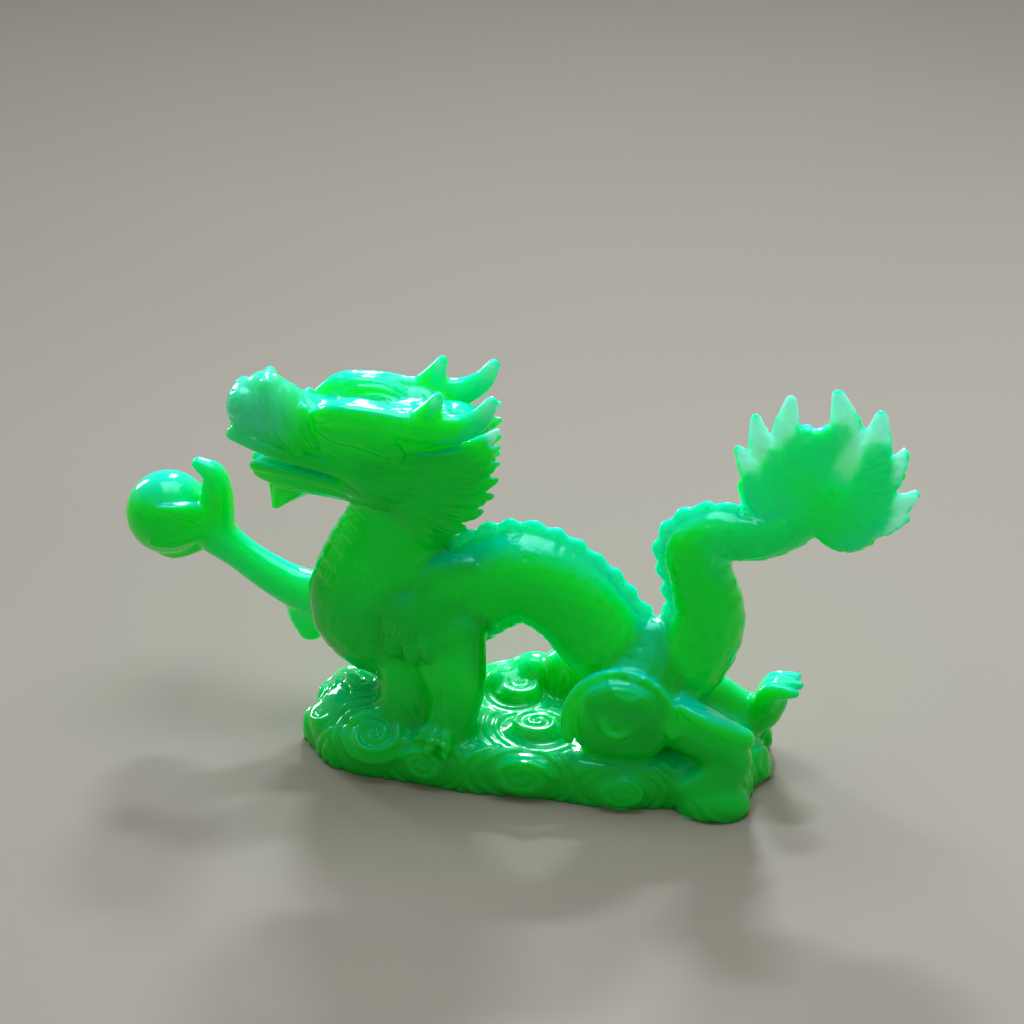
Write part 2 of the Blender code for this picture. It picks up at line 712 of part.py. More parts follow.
def build_dragon():
    clay = bmesh.new()
    clay.from_mesh(build_masses())
    add_plinth_scrolls(clay)
    add_haunch_disc(clay)
    add_pearl(clay)
    add_pearl_claw(clay)
    add_elbow_tuft(clay)
    add_paws(clay)
    add_shin_ridge(clay)
    add_shoulder_tufts(clay)
    add_spines(clay)
    add_tail_fan(clay)
    add_face(clay)
    add_mane(clay)
    dragon = object_from(clay, "dragon")
    fuse(dragon, CLAY_GRAIN, DETAIL_SMOOTHING_ROUNDS)
    return dragon


def thin_out(item, triangles):
    """Sets the Decimate ratio that leaves about this many triangles."""
    mesh = evaluated_mesh(item)
    mesh.calc_loop_triangles()
    ratio = triangles / len(mesh.loop_triangles)
    bpy.data.meshes.remove(mesh)
    decimate = item.modifiers.new("Thin out", "DECIMATE")
    decimate.use_collapse_triangulate = True
    decimate.ratio = min(1.0, ratio)


def cut_flat_underneath(item):
    box = bmesh.new()
    size = Vector((2 * PLINTH_LENGTH, 3 * PLINTH_DEPTH, GROUND_CUT))
    place = Matrix.Translation((0, 0, -GROUND_CUT / 2)) @ Matrix.Diagonal((*size, 1))
    bmesh.ops.create_cube(box, size=1, matrix=place)
    ground = object_from(box, "ground_cutter")
    ground.hide_render = True
    ground.display_type = "WIRE"
    cut = item.modifiers.new("Flat underside", "BOOLEAN")
    cut.operation = "DIFFERENCE"
    cut.object = ground


def jade_material():
    material = bpy.data.materials.new("jade_resin")
    material.use_nodes = True
    shader = material.node_tree.nodes["Principled BSDF"]
    shader.inputs["Base Color"].default_value = (0.01, 0.42, 0.07, 1)
    shader.inputs["Roughness"].default_value = 0.18
    shader.inputs["Metallic"].default_value = 0.0
    return material


def main():
    clear_scene()
    dragon = build_dragon()
    thin_out(dragon, SOLID_TRIANGLES)
    cut_flat_underneath(dragon)
    dragon.data.materials.append(jade_material())


main()
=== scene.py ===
# %% [markdown]
# A dragon cast in green resin
#
# The object is a palm-sized dragon that strides over a plinth of clouds with a pearl in its raised
# claw. Dragon, pearl and plinth were poured as one, in clear green resin that passes for jade.
# It could be sculpted by hand in a viewport, but a script can be rerun and changed. So it is
# modelled as a carver works in clay: large masses are put together and smoothed, smaller forms
# are pressed on, fine lines are drawn with a tool, and the finish comes last.

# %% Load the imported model
import math
import time

import bmesh
import bpy
import numpy as np
from mathutils import Matrix, Vector, kdtree
from mathutils.bvhtree import BVHTree


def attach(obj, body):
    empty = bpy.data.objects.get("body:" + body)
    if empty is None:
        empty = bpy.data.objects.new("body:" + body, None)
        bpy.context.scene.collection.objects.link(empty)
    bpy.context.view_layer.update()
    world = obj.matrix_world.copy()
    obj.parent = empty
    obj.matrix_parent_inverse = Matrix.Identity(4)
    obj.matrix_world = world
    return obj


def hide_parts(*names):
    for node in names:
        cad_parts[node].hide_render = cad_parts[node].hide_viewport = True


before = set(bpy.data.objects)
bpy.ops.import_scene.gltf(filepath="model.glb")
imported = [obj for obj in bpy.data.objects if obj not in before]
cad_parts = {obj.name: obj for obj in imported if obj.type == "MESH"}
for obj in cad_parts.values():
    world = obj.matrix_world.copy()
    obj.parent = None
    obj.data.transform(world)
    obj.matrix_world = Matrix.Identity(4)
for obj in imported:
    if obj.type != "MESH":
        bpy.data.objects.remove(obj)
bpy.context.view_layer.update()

started = time.time()

# %% [markdown]
# Sizes and places
#
# On the real piece everything hangs together: the figure stands on the plinth, and the pearl lies
# in the palm. Typing every point in metres would hide that. So the figure is laid out in a
# carver's unit, a 52nd of its height, measured from the middle of the plinth's top, and the head
# has its own pivot because it turns a little towards the viewer.

# %% Sizes and places
PLINTH_LENGTH, PLINTH_DEPTH, PLINTH_HEIGHT = 0.0656, 0.0255, 0.0065
FIGURE_HEIGHT = 0.052
PEARL_DIAMETER = 0.0124
SPINE_HEIGHT, SPINE_PITCH = 0.0016, 0.0032
FAN_THICKNESS = 0.003
HEAD_TURN = math.radians(10)
HEAD_PIVOT = Vector((-18, 0, 39.5))
UNIT = FIGURE_HEIGHT / 52
LENGTHWISE, ACROSS, UPRIGHT = Vector((1, 0, 0)), Vector((0, 1, 0)), Vector((0, 0, 1))


def figure(x, y, z):
    """A place on the figure, from carver's units above the plinth's top."""
    return Vector((x * UNIT, y * UNIT, PLINTH_HEIGHT + z * UNIT))


def head_point(x, y, z):
    """A place on the head, in carver's units from its pivot, after the head's turn."""
    turned = Matrix.Rotation(HEAD_TURN, 3, "Z") @ Vector((x, y, z))
    return figure(*(HEAD_PIVOT + turned))


def plinth(x, y, z):
    """A place on the plinth, as shares of its half length, half depth and height."""
    return Vector((x * PLINTH_LENGTH / 2, y * PLINTH_DEPTH / 2, z * PLINTH_HEIGHT))


print("one carver's unit is", round(1000 * UNIT, 3), "mm")

# %% [markdown]
# Rolls of clay
#
# Body, legs, locks of hair and claws are all round-sided rolls that bend and taper. A curve with a
# bevel could make them, but it can't be oval or grooved. A loft can: oval rings are strung along a
# smooth curve through a few stations and closed with rounded ends. Flutes ripple the rings, which
# gives hair its grooves.

# %% Rolls of clay
def smooth_between(a, b, c, d, t):
    """The Catmull-Rom curve from b to c."""
    return 0.5 * (
        2 * b + (c - a) * t + (2 * a - 5 * b + 4 * c - d) * t**2 + (3 * b - a - 3 * c + d) * t**3
    )


def sampled(stations, steps):
    """Points and half sizes along the smooth curve through (point, half_width, half_height)."""
    rows = [Vector((*point, wide, high)) for point, wide, high in stations]
    rows = [2 * rows[0] - rows[1], *rows, 2 * rows[-1] - rows[-2]]
    found = []
    for i in range(1, len(rows) - 2):
        count = steps + (i == len(rows) - 3)
        found += [smooth_between(*rows[i - 1 : i + 3], k / steps) for k in range(count)]
    return [(Vector(row[:3]), max(row[3], 1e-4), max(row[4], 1e-4)) for row in found]


def add_ring(clay, centre, side, rise, wide, high, sides, flutes, groove, twist):
    ring = []
    for k in range(sides):
        a = 2 * math.pi * k / sides
        reach = 1 - groove * (0.5 + 0.5 * math.cos(flutes * a + twist)) if flutes else 1.0
        place = centre + side * (reach * wide * math.cos(a)) + rise * (reach * high * math.sin(a))
        ring.append(clay.verts.new(place))
    return ring


def loft(clay, stations, reference=ACROSS, steps=4, sides=12, flutes=0, groove=0.0, twist=0.0):
    """A round-ended roll; the half width lies along the reference, the half height square to it."""
    rows = sampled(stations, steps)
    rings = []
    for i, (point, wide, high) in enumerate(rows):
        before, after = rows[max(i - 1, 0)][0], rows[min(i + 1, len(rows) - 1)][0]
        along = (after - before).normalized()
        side = (reference - along * reference.dot(along)).normalized()
        rise = along.cross(side)
        end = -1 if i == 0 else (1 if i == len(rows) - 1 else 0)
        deep = min(wide, high)
        caps = [(end * deep * s, math.sqrt(1 - s * s)) for s in (0.35, 0.75, 0.95)] if end else []
        here = caps[::-1] + [(0.0, 1.0)] if end < 0 else [(0.0, 1.0)] + caps
        for ahead, share in here:
            turned = twist + 0.25 * i
            rings.append(add_ring(clay, point + along * ahead, side, rise, wide * share,
                                  high * share, sides, flutes, groove, turned))
        if end < 0:
            first_pole = clay.verts.new(point - along * deep)
        if end > 0:
            last_pole = clay.verts.new(point + along * deep)
    for low, top in zip(rings, rings[1:]):
        for k in range(sides):
            n = (k + 1) % sides
            clay.faces.new((low[k], low[n], top[n], top[k]))
    for k in range(sides):
        n = (k + 1) % sides
        clay.faces.new((first_pole, rings[0][n], rings[0][k]))
        clay.faces.new((last_pole, rings[-1][k], rings[-1][n]))


def unit_stations(rows, place=figure):
    """Stations from rows of x, y, z, half_width, half_height in carver's units."""
    return [(place(x, y, z), wide * UNIT, high * UNIT) for x, y, z, wide, high in rows]


def lock(clay, rows, place=figure, reference=ACROSS, sides=12, flutes=0, groove=0.0, twist=0.0):
    loft(clay, unit_stations(rows, place), reference, 4, sides, flutes, groove, twist)


def blob(clay, centre, radii, lean=0.0, turn=0.0, detail=3):
    """An ellipsoid, leaned about Y and then turned about Z."""
    place = Matrix.Translation(centre) @ Matrix.Rotation(turn, 4, "Z")
    place = place @ Matrix.Rotation(lean, 4, "Y") @ Matrix.Diagonal((*radii, 1))
    bmesh.ops.create_icosphere(clay, subdivisions=detail, radius=1, matrix=place)


def units(*sizes):
    return [size * UNIT for size in sizes]


def mesh_object(clay, name):
    bmesh.ops.recalc_face_normals(clay, faces=clay.faces)
    mesh = bpy.data.meshes.new(name)
    clay.to_mesh(mesh)
    clay.free()
    made = bpy.data.objects.new(name, mesh)
    bpy.context.scene.collection.objects.link(made)
    return made


def fused(clay, name, grain, smoothing):
    """One skin over all that is in the clay, as a new mesh; the grain is the voxel's size."""
    item = mesh_object(clay, name)
    remesh = item.modifiers.new("Fuse", "REMESH")
    remesh.mode = "VOXEL"
    remesh.voxel_size = grain
    item.modifiers.new("Soften", "SMOOTH").iterations = smoothing
    bpy.context.view_layer.update()
    graph = bpy.context.evaluated_depsgraph_get()
    mesh = bpy.data.meshes.new_from_object(item.evaluated_get(graph))
    bpy.data.objects.remove(item)
    print(name, "fused at", round(1000 * grain, 2), "mm:", len(mesh.vertices), "points")
    return mesh


# %% [markdown]
# The body and the legs
#
# The dragon's trunk is one snake-like roll: down from the head into the chest, over the hump, down
# to the haunch, up the loop and out into the tail. The near fore leg is planted beside a pillar of
# cloud, the far one reaches out for the pearl, the near hind leg kneels and the far one kicks back.
# They are separate rolls that only overlap, because the fusing step joins them with soft creases.

# %% The body and the legs
BODY = (
    # x, y, z, half width, half height: neck, chest, hump, loop and tail
    (-13.5, 0, 39.0, 5.0, 6.4),
    (-16.8, 0, 33.5, 5.2, 6.8),
    (-19.4, 0, 27.0, 5.6, 7.8),
    (-22.2, 0, 20.5, 6.2, 8.6),
    (-23.8, 0, 14.4, 6.8, 8.8),
    (-19.0, 0, 11.8, 7.0, 8.0),
    (-14.0, 0.2, 14.6, 6.8, 7.6),
    (-7.6, 0.4, 19.2, 6.4, 7.2),
    (-1.4, 0.6, 21.6, 6.2, 7.0),
    (5.0, 0.4, 18.4, 6.1, 6.8),
    (10.2, 0, 12.8, 6.2, 6.8),
    (16.2, 0, 8.2, 6.2, 6.4),
    (21.2, 0, 10.8, 5.8, 5.8),
    (24.0, 0, 17.4, 5.2, 5.2),
    (22.9, 0, 23.6, 4.6, 4.5),
    (21.7, 0, 28.4, 4.0, 4.3),
    (24.6, 0, 31.0, 3.6, 3.7),
    (29.5, 0, 30.8, 3.3, 3.6),
    (34.4, 0.3, 32.4, 2.8, 3.0),
    (38.0, 0.5, 35.6, 2.0, 2.6),
)
masses = bmesh.new()
loft(masses, unit_stations(BODY), sides=24)

flesh = []


def limb(rows):
    """A roll of flesh, remembered so that the ridges of the clouds stop at it."""
    lock(masses, rows)
    flesh.extend(sampled(unit_stations(rows), 4))


# near fore leg with the cloud pillar beside it
blob(masses, figure(-14.5, -4.6, 15.2), units(7.4, 4.2, 6.2))
blob(masses, figure(-12.6, -4.0, 21.0), units(6.4, 3.0, 4.0), lean=-0.75)
limb((
    (-11.6, -5.6, 14.4, 3.6, 6.0),
    (-10.3, -6.8, 9.0, 3.2, 4.9),
    (-9.9, -7.6, 4.4, 2.9, 3.8),
    (-11.0, -8.2, 0.2, 3.0, 3.4),
))
lock(masses, (
    (-18.4, -2.6, 10.0, 4.6, 4.4),
    (-17.6, -3.8, 5.0, 4.2, 4.0),
    (-17.6, -4.4, -0.5, 4.8, 5.4),
))

# far shoulder, and the arm that holds out the pearl
blob(masses, figure(-22.5, 4.6, 14.0), units(6.6, 4.2, 6.2))
lock(masses, (
    (-24.0, 4.4, 13.0, 4.2, 5.4),
    (-30.0, 6.2, 11.2, 3.6, 4.4),
    (-36.0, 7.0, 12.0, 3.0, 3.4),
    (-41.0, 7.4, 14.2, 2.7, 2.9),
    (-45.4, 7.8, 16.9, 2.5, 2.7),
    (-48.6, 8.2, 19.0, 3.0, 3.2),
))
blob(masses, figure(-49.6, 8.4, 20.6), units(3.4, 3.6, 4.0), lean=-0.6)

# near hind leg, kneeling, with the thigh, the shin and the foot under it
lock(masses, (
    (17.6, -0.8, 14.0, 3.2, 5.0),
    (16.8, -2.8, 11.0, 4.1, 6.4),
    (15.6, -5.2, 8.0, 4.2, 6.6),
    (15.6, -6.6, 5.0, 3.2, 5.0),
), sides=20)
limb((
    (17.0, -5.6, 5.8, 3.2, 4.6),
    (22.4, -7.4, 4.7, 3.3, 4.0),
    (27.0, -8.2, 3.0, 3.3, 3.6),
    (28.8, -8.6, 0.4, 2.8, 3.2),
))
limb((
    (29.0, -9.4, 0.6, 1.8, 2.8),
    (26.2, -10.6, -1.6, 1.8, 2.4),
    (22.8, -11.3, -3.4, 1.4, 1.8),
))

# far hind leg, kicked out behind
blob(masses, figure(15.5, 4.4, 7.4), units(7.0, 4.2, 6.0))
limb((
    (18.0, 4.0, 5.4, 3.2, 4.4),
    (24.5, 4.4, 2.8, 2.8, 3.6),
    (28.6, 4.4, 0.4, 2.8, 3.4),
    (31.4, 4.2, 0.6, 2.6, 3.0),
    (33.2, 4.0, 3.4, 2.3, 2.4),
))
print("body and legs:", len(masses.verts), "points of clay")

# %% [markdown]
# The head's masses
#
# The skull narrows into a long muzzle with a raised nose, over a jaw that is cast almost shut.
# Three rolls make skull, jaw and the palate between them, and round lumps give each side its cheek
# and brow. Lips, lids, antlers and hair are pressed on later.

# %% The head's masses
loft(masses, unit_stations((
    (6.0, 0, -1.0, 6.0, 8.0),
    (-1.0, 0, 0.4, 6.2, 6.4),
    (-6.5, 0, 1.6, 5.6, 5.0),
    (-11.0, 0, 2.8, 4.4, 4.3),
    (-14.8, 0, 4.2, 4.0, 4.1),
    (-18.4, 0, 6.0, 3.8, 4.7),
    (-21.0, 0, 6.0, 3.2, 4.2),
), head_point), sides=20)
loft(masses, unit_stations((
    (2.0, 0, -6.2, 5.4, 3.6),
    (-5.0, 0, -4.6, 4.6, 3.6),
    (-11.0, 0, -3.9, 3.6, 3.2),
    (-16.0, 0, -3.6, 2.9, 2.6),
    (-19.6, 0, -3.0, 1.9, 1.7),
), head_point), sides=16)
loft(masses, unit_stations((
    (-0.5, 0, -0.6, 5.6, 3.0),
    (-6.0, 0, 0.6, 4.7, 2.8),
    (-11.0, 0, 1.4, 3.9, 2.4),
    (-16.0, 0, 2.4, 3.4, 2.2),
    (-20.6, 0, 4.0, 2.7, 1.9),
), head_point), sides=20)
for side in (-1, 1):
    blob(masses, head_point(-3.0, side * 4.2, -2.0), units(6.4, 3.2, 5.0))
    blob(masses, head_point(-5.6, side * 4.1, 5.8), units(6.2, 2.9, 3.3), lean=0.08)
    blob(masses, head_point(1.5, side * 4.6, 4.6), units(4.4, 2.2, 2.6))

# %% [markdown]
# The plinth and its banks of cloud
#
# The plinth is a low oblong with rounded ends and a faintly lobed edge, and banks of cloud swell
# out of its top under the figure. The edge is worked out as a superellipse, so it can be squarer
# or rounder by one number. The clay reaches a little below the ground, where it is cut flat later.

# %% The plinth and its banks of cloud
PLINTH_SQUARENESS = 3.2
EDGE_LOBES, EDGE_LOBE_DEPTH = 11, 0.022
CLAY_BELOW_GROUND = 0.0025


def plinth_outline(angle):
    """The plinth's edge as a rounded oblong with shallow lobes, in shares of its half size."""
    c, s = math.cos(angle), math.sin(angle)
    power = PLINTH_SQUARENESS
    reach = (abs(c) ** power + abs(s) ** power) ** (-1 / power)
    reach *= 1 + EDGE_LOBE_DEPTH * math.cos(EDGE_LOBES * angle + 0.6)
    return reach * c, reach * s


below = -CLAY_BELOW_GROUND / PLINTH_HEIGHT
levels = ((below, 1.0), (0.0, 1.0), (0.35, 1.01), (0.7, 0.985), (0.92, 0.93), (1.0, 0.84))
around = 72
rings = []
for height, spread in levels:
    edge = [plinth_outline(2 * math.pi * k / around) for k in range(around)]
    rings.append([masses.verts.new(plinth(x * spread, y * spread, height)) for x, y in edge])
for low, top in zip(rings, rings[1:]):
    for k in range(around):
        n = (k + 1) % around
        masses.faces.new((low[k], low[n], top[n], top[k]))
masses.faces.new(rings[0][::-1])
masses.faces.new(rings[-1])

CLOUD_BANKS = (
    # x, y, z, then half sizes
    (-24.2, 0.5, -1.2, 7.0, 9.0, 4.2),
    (-18.6, 0.0, 0.4, 5.6, 6.6, 4.6),
    (-9.5, -4.5, -1.2, 6.5, 5.5, 2.4),
    (-5.5, 6.6, 0.0, 4.6, 4.0, 2.8),
    (-1.6, 8.4, 1.2, 3.6, 3.2, 3.0),
    (3.4, 7.6, 1.8, 4.0, 4.0, 4.8),
    (4.0, -3.0, -2.4, 7.0, 6.0, 3.2),
    (13.0, 3.0, 0.0, 7.5, 6.0, 4.6),
    (20.0, 0.0, 0.0, 8.0, 6.5, 4.0),
    (26.8, 1.0, -1.8, 4.4, 7.5, 3.4),
    (26.6, -10.2, -5.4, 5.4, 3.9, 3.8),
)
for x, y, z, *radii in CLOUD_BANKS:
    blob(masses, figure(x, y, z), units(*radii))

# %% [markdown]
# Fusing the masses
#
# Clay pressed together has no inner walls, and its joints are soft. A voxel remesh does just that:
# it lays one closed skin over everything. A dozen rounds of smoothing then melt the creases, which
# would be too soft for hair or scales but is right for flesh.

# %% Fusing the masses
MASS_GRAIN = 0.0005
mass_mesh = fused(masses, "masses", MASS_GRAIN, 12)
clay = bmesh.new()
clay.from_mesh(mass_mesh)


# %% [markdown]
# Curls of cloud
#
# Clouds in this style end in flat spiral curls. Each one is an oval cushion with a thin roll wound
# on it towards the middle. A texture could paint the spiral, but its ridges catch the light on the
# real piece, so it is real clay. Curls stand round the plinth's side and on its shoulders and top.

# %% Curls of cloud
def scroll(clay, centre, facing, wide, tall, turns=2.1, thick=0.17, start=0.0, hand=1):
    """A spiral roll on an oval that lies square to the given direction."""
    side = (LENGTHWISE - facing * LENGTHWISE.dot(facing)).normalized()
    rise = facing.cross(side)
    count = int(14 * turns)
    stations = []
    for k in range(count + 1):
        share = k / count
        angle = start + hand * 2 * math.pi * turns * share
        reach = 1 - 0.9 * share
        place = centre + side * (wide * reach * math.cos(angle))
        place += rise * (tall * reach * math.sin(angle))
        roll = min(wide, tall) * thick * (1 - 0.25 * share)
        stations.append((place + facing * (0.9 * roll * share), roll, roll))
    loft(clay, stations, facing, steps=2, sides=10)


curls = []


def add_curl(clay, centre, facing, wide, tall, start, hand, turns=2.1):
    """An oval cushion with a spiral roll on it."""
    curls.append((centre, facing, wide, tall, hand))
    cushion = Matrix.Translation(centre) @ facing.to_track_quat("Z", "Y").to_matrix().to_4x4()
    size = Matrix.Diagonal((*units(wide, tall, 1.25), 1))
    bmesh.ops.create_icosphere(clay, subdivisions=3, radius=1, matrix=cushion @ size)
    scroll(clay, centre + facing * (0.95 * UNIT), facing, *units(0.84 * wide, 0.84 * tall),
           turns=turns, start=start, hand=hand)


SIDE_CURLS = (
    # degrees round the plinth, height share, half width, half height, start turn and hand
    (-114, 0.52, 3.7, 2.6, 2.8, -1),
    (-89, 0.50, 5.2, 3.0, 0.2, 1),
    (-66, 0.40, 4.0, 2.4, 1.5, -1),
    (-40, 0.42, 3.7, 2.7, 0.4, 1),
    (-4, 0.26, 2.8, 2.0, 2.6, -1),
    (30, 0.42, 3.8, 2.8, 1.0, 1),
    (64, 0.40, 4.2, 2.6, 0.8, -1),
    (88, 0.40, 4.6, 2.6, 2.2, 1),
    (112, 0.40, 4.0, 2.6, 0.2, -1),
    (146, 0.50, 4.4, 3.2, 1.4, 1),
    (176, 0.46, 4.2, 3.0, 2.4, -1),
)
TOP_CURLS = (
    # x, y and z as shares of the plinth, half width, half height, uprightness, start and hand
    (-0.64, -0.76, 0.82, 5.0, 4.2, 0.9, 2.6, -1),
    (-0.88, -0.34, 0.72, 3.6, 3.4, 1.0, 1.0, 1),
    (0.04, -0.42, 1.05, 4.4, 3.4, 3.0, 0.6, 1),
    (-0.10, 0.30, 1.05, 3.6, 3.2, 3.0, 2.0, -1),
)
for degrees, z, wide, tall, start, hand in SIDE_CURLS:
    x, y = plinth_outline(math.radians(degrees))
    before = plinth(*plinth_outline(math.radians(degrees - 5)), 0)
    after = plinth(*plinth_outline(math.radians(degrees + 5)), 0)
    facing = ((after - before).cross(UPRIGHT).normalized() + 0.2 * UPRIGHT).normalized()
    add_curl(clay, plinth(0.97 * x, 0.97 * y, z), facing, wide, tall, start, hand)
for x, y, z, wide, tall, upright, start, hand in TOP_CURLS:
    facing = Vector((x**7, y * abs(y), upright)).normalized()
    add_curl(clay, plinth(x, y, z), facing, wide, tall, start, hand)
print(len(SIDE_CURLS) + len(TOP_CURLS), "curls of cloud")

# %% [markdown]
# The bowl of cloud under the haunch
#
# A large round bowl with a raised rim cradles the near haunch, and a spiral sits in its middle. It
# leans back with the thigh, so all its parts share one centre and one facing direction.

# %% The bowl of cloud under the haunch
BOWL_CENTRE = figure(13.4, -9.2, 5.2)
BOWL_FACING = Vector((0.1, -0.93, 0.37)).normalized()
BOWL_RISE = LENGTHWISE.cross(BOWL_FACING)


def on_bowl(reach, degrees, proud):
    """A place on the bowl, from its middle outwards and round it."""
    a = math.radians(degrees)
    flat = LENGTHWISE * (7.3 * reach * math.cos(a)) + BOWL_RISE * (6.9 * reach * math.sin(a))
    return BOWL_CENTRE + (flat + BOWL_FACING * proud) * UNIT


blob(clay, BOWL_CENTRE, units(7.2, 2.6, 6.6))
rim = [(on_bowl(1.0, 158 + 208 * k / 12, 1.3), *units(0.85, 0.85)) for k in range(13)]
loft(clay, rim, BOWL_FACING, steps=2, sides=12)
scroll(clay, BOWL_CENTRE + BOWL_FACING * (2.45 * UNIT), BOWL_FACING, *units(3.3, 2.7), turns=1.6)

# %% [markdown]
# The pearl and the raised claw
#
# Four claws lie round the pearl from the palm, and the thumb stands up behind it. The claws are
# placed on the pearl's own sphere by two angles, so a larger pearl is still held.

# %% The pearl and the raised claw
palm = figure(-50.2, 8.7, 20.9)
PEARL_RADIUS = PEARL_DIAMETER / 2
pearl_centre = palm + Vector((-0.995, 0.05, 0.13)).normalized() * (PEARL_RADIUS - 0.3 * UNIT)
blob(clay, pearl_centre, [PEARL_RADIUS] * 3, detail=4)


def add_finger(clay, spread, bend, start=(-48.4, 8.2, 19.6), thick=1.6):
    """A claw round the pearl: spread picks its meridian and bend how far it reaches."""
    out = Vector((0, math.cos(spread), math.sin(spread)))
    stations = [(figure(*start), *units(thick, thick))]
    for share in (0.4, 0.72, 1.0):
        angle = share * bend
        ray = LENGTHWISE * math.cos(angle) + out * math.sin(angle)
        wide = thick * (1 - 0.62 * share**2)
        knuckle = pearl_centre + ray * (PEARL_RADIUS + 0.2 * UNIT)
        stations.append((knuckle, *units(wide, 0.72 * wide)))
    loft(clay, stations, LENGTHWISE.cross(out), steps=4, sides=12)


for spread, bend in ((200, 96), (150, 84), (262, 118), (-20, 84)):
    add_finger(clay, math.radians(spread), math.radians(bend))
lock(clay, (
    (-48.2, 8.2, 21.0, 2.6, 2.4),
    (-48.2, 8.2, 25.6, 2.4, 2.4),
    (-48.6, 8.3, 28.8, 2.0, 1.8),
    (-50.8, 8.5, 30.2, 1.3, 1.0),
))
# tuft of hair under the elbow
lock(clay, (
    (-33.2, 6.4, 12.5, 1.6, 4.6),
    (-34.8, 6.6, 8.4, 1.5, 3.6),
    (-34.6, 6.4, 5.0, 1.0, 1.9),
), sides=24, flutes=7, groove=0.12)
print("the pearl is", round(1000 * PEARL_DIAMETER, 1), "mm across")

# %% [markdown]
# Paws
#
# The near fore paw grips the plinth's edge with three toes, and the far hind foot curls up its
# claws. Toes are short rolls with a knuckle: they rise, swell a little and dip into the claw.

# %% Paws
def add_paw(clay, wrist, toes, splay, reach, droop):
    """Toes fan out from the wrist, each a curved digit with a claw."""
    heading = math.atan2(toes[1], toes[0])
    joints = ((0, 0.6, 1.5), (0.45, 0.9, 1.35), (0.8, 0.2, 1.05), (1.1, -droop, 0.5))
    for k in (-1, 0, 1):
        angle = heading + k * splay
        ahead = Vector((math.cos(angle), math.sin(angle)))
        rows = []
        for share, lift, size in joints:
            x = wrist[0] + ahead.x * reach * share
            y = wrist[1] + ahead.y * reach * share
            rows.append((x, y, wrist[2] + lift, size, size))
        lock(clay, rows, reference=Vector((-ahead.y, ahead.x, 0)))


add_paw(clay, (-11.2, -8.6, 0.2), (-0.35, -0.9), splay=0.6, reach=4.2, droop=1.0)
for k in (-1, 0, 1):
    lock(clay, (
        (32.4, 4.0 + k * 1.3, 3.0, 1.4, 1.8),
        (33.2 + 0.2 * k, 4.0 + k * 1.6, 5.2, 1.3, 1.6),
        (36.8 - 0.5 * abs(k), 4.0 + k * 1.8, 5.9 + 0.3 * k, 0.7, 0.7),
    ))
# leaf-like upper edge of the kneeling shin
lock(clay, (
    (21.6, -9.0, 8.6, 0.5, 0.5),
    (24.2, -9.3, 7.3, 1.5, 1.2),
    (27.6, -9.2, 5.8, 1.8, 1.5),
    (30.4, -8.8, 4.4, 1.5, 1.5),
))

# %% [markdown]
# The fin along the back
#
# A low fin runs along the whole back, and its edge is cut into blunt saw teeth that lean towards
# the tail. Separate teeth would look like beads. So the fin is one roll along the crest, whose
# height goes up and down with the distance travelled, and its teeth keep their pitch in the bends.

# %% The fin along the back
def back_line():
    """Rows along the back: distance travelled, crest and its upward side."""
    rows = sampled(unit_stations(BODY), 24)
    found = []
    travelled = 0.0
    for (a, _, high), (b, _, _) in zip(rows, rows[1:]):
        along = (b - a).normalized()
        rise = along.cross(ACROSS).normalized()
        crest = a + rise * high
        if found:
            travelled += (crest - found[-1][1]).length
        found.append((travelled, crest, rise))
    return found


back = back_line()
fin_start, fin_end = 0.27 * back[-1][0], 0.97 * back[-1][0]
fin_root = 1.4 * UNIT
count = int(10 * (fin_end - fin_start) / SPINE_PITCH)
fin_stations = []
for k in range(count + 1):
    share = k / count
    target = fin_start + share * (fin_end - fin_start)
    _, crest, rise = min(back, key=lambda row: abs(row[0] - target))
    turn = (target / SPINE_PITCH) % 1.0
    tooth = min(turn / 0.68, (1 - turn) / 0.32) ** 0.8
    size = min(1.0, 0.3 + 3.0 * (1 - share), 0.5 + 5.0 * share)
    top = SPINE_HEIGHT * size * (0.3 + 0.7 * tooth)
    middle = crest + rise * (0.5 * (top - fin_root))
    fin_stations.append((middle, 0.85 * UNIT, 0.5 * (top + fin_root)))
loft(clay, fin_stations, steps=1, sides=12)
print(int((fin_end - fin_start) / SPINE_PITCH), "teeth on the fin")

# %% [markdown]
# The tail's fan of flames
#
# The tail ends in a round fan: thin flames at the rim and a second, thicker layer of petals over
# its middle on each face, which curl out of the tail's end. The rim is left thin on purpose,
# because the light that comes through it is what one sees first on the real piece.

# %% The tail's fan of flames
FAN_TIPS = (
    # x, z of each flame's tip and its half width
    (27.6, 38.4, 3.0),
    (26.8, 43.3, 1.9),
    (28.9, 48.0, 2.0),
    (33.4, 51.0, 2.1),
    (39.2, 52.3, 2.4),
    (45.0, 49.8, 2.4),
    (48.4, 44.6, 2.2),
    (50.4, 38.8, 2.1),
    (49.4, 35.2, 1.9),
    (45.2, 31.6, 2.5),
)
FAN_MIDDLE = (38.6, 38.0)
FAN_ROOT = (38.0, 34.6)
x0, z0 = FAN_MIDDLE
blob(clay, figure(x0, 0.5, z0 + 1.4), (8.4 * UNIT, 0.4 * FAN_THICKNESS, 7.9 * UNIT), detail=4)
blob(clay, figure(38.0, 0.5, 36.2), units(4.8, 2.2, 4.6))
flame_thick = 0.47 * FAN_THICKNESS / UNIT
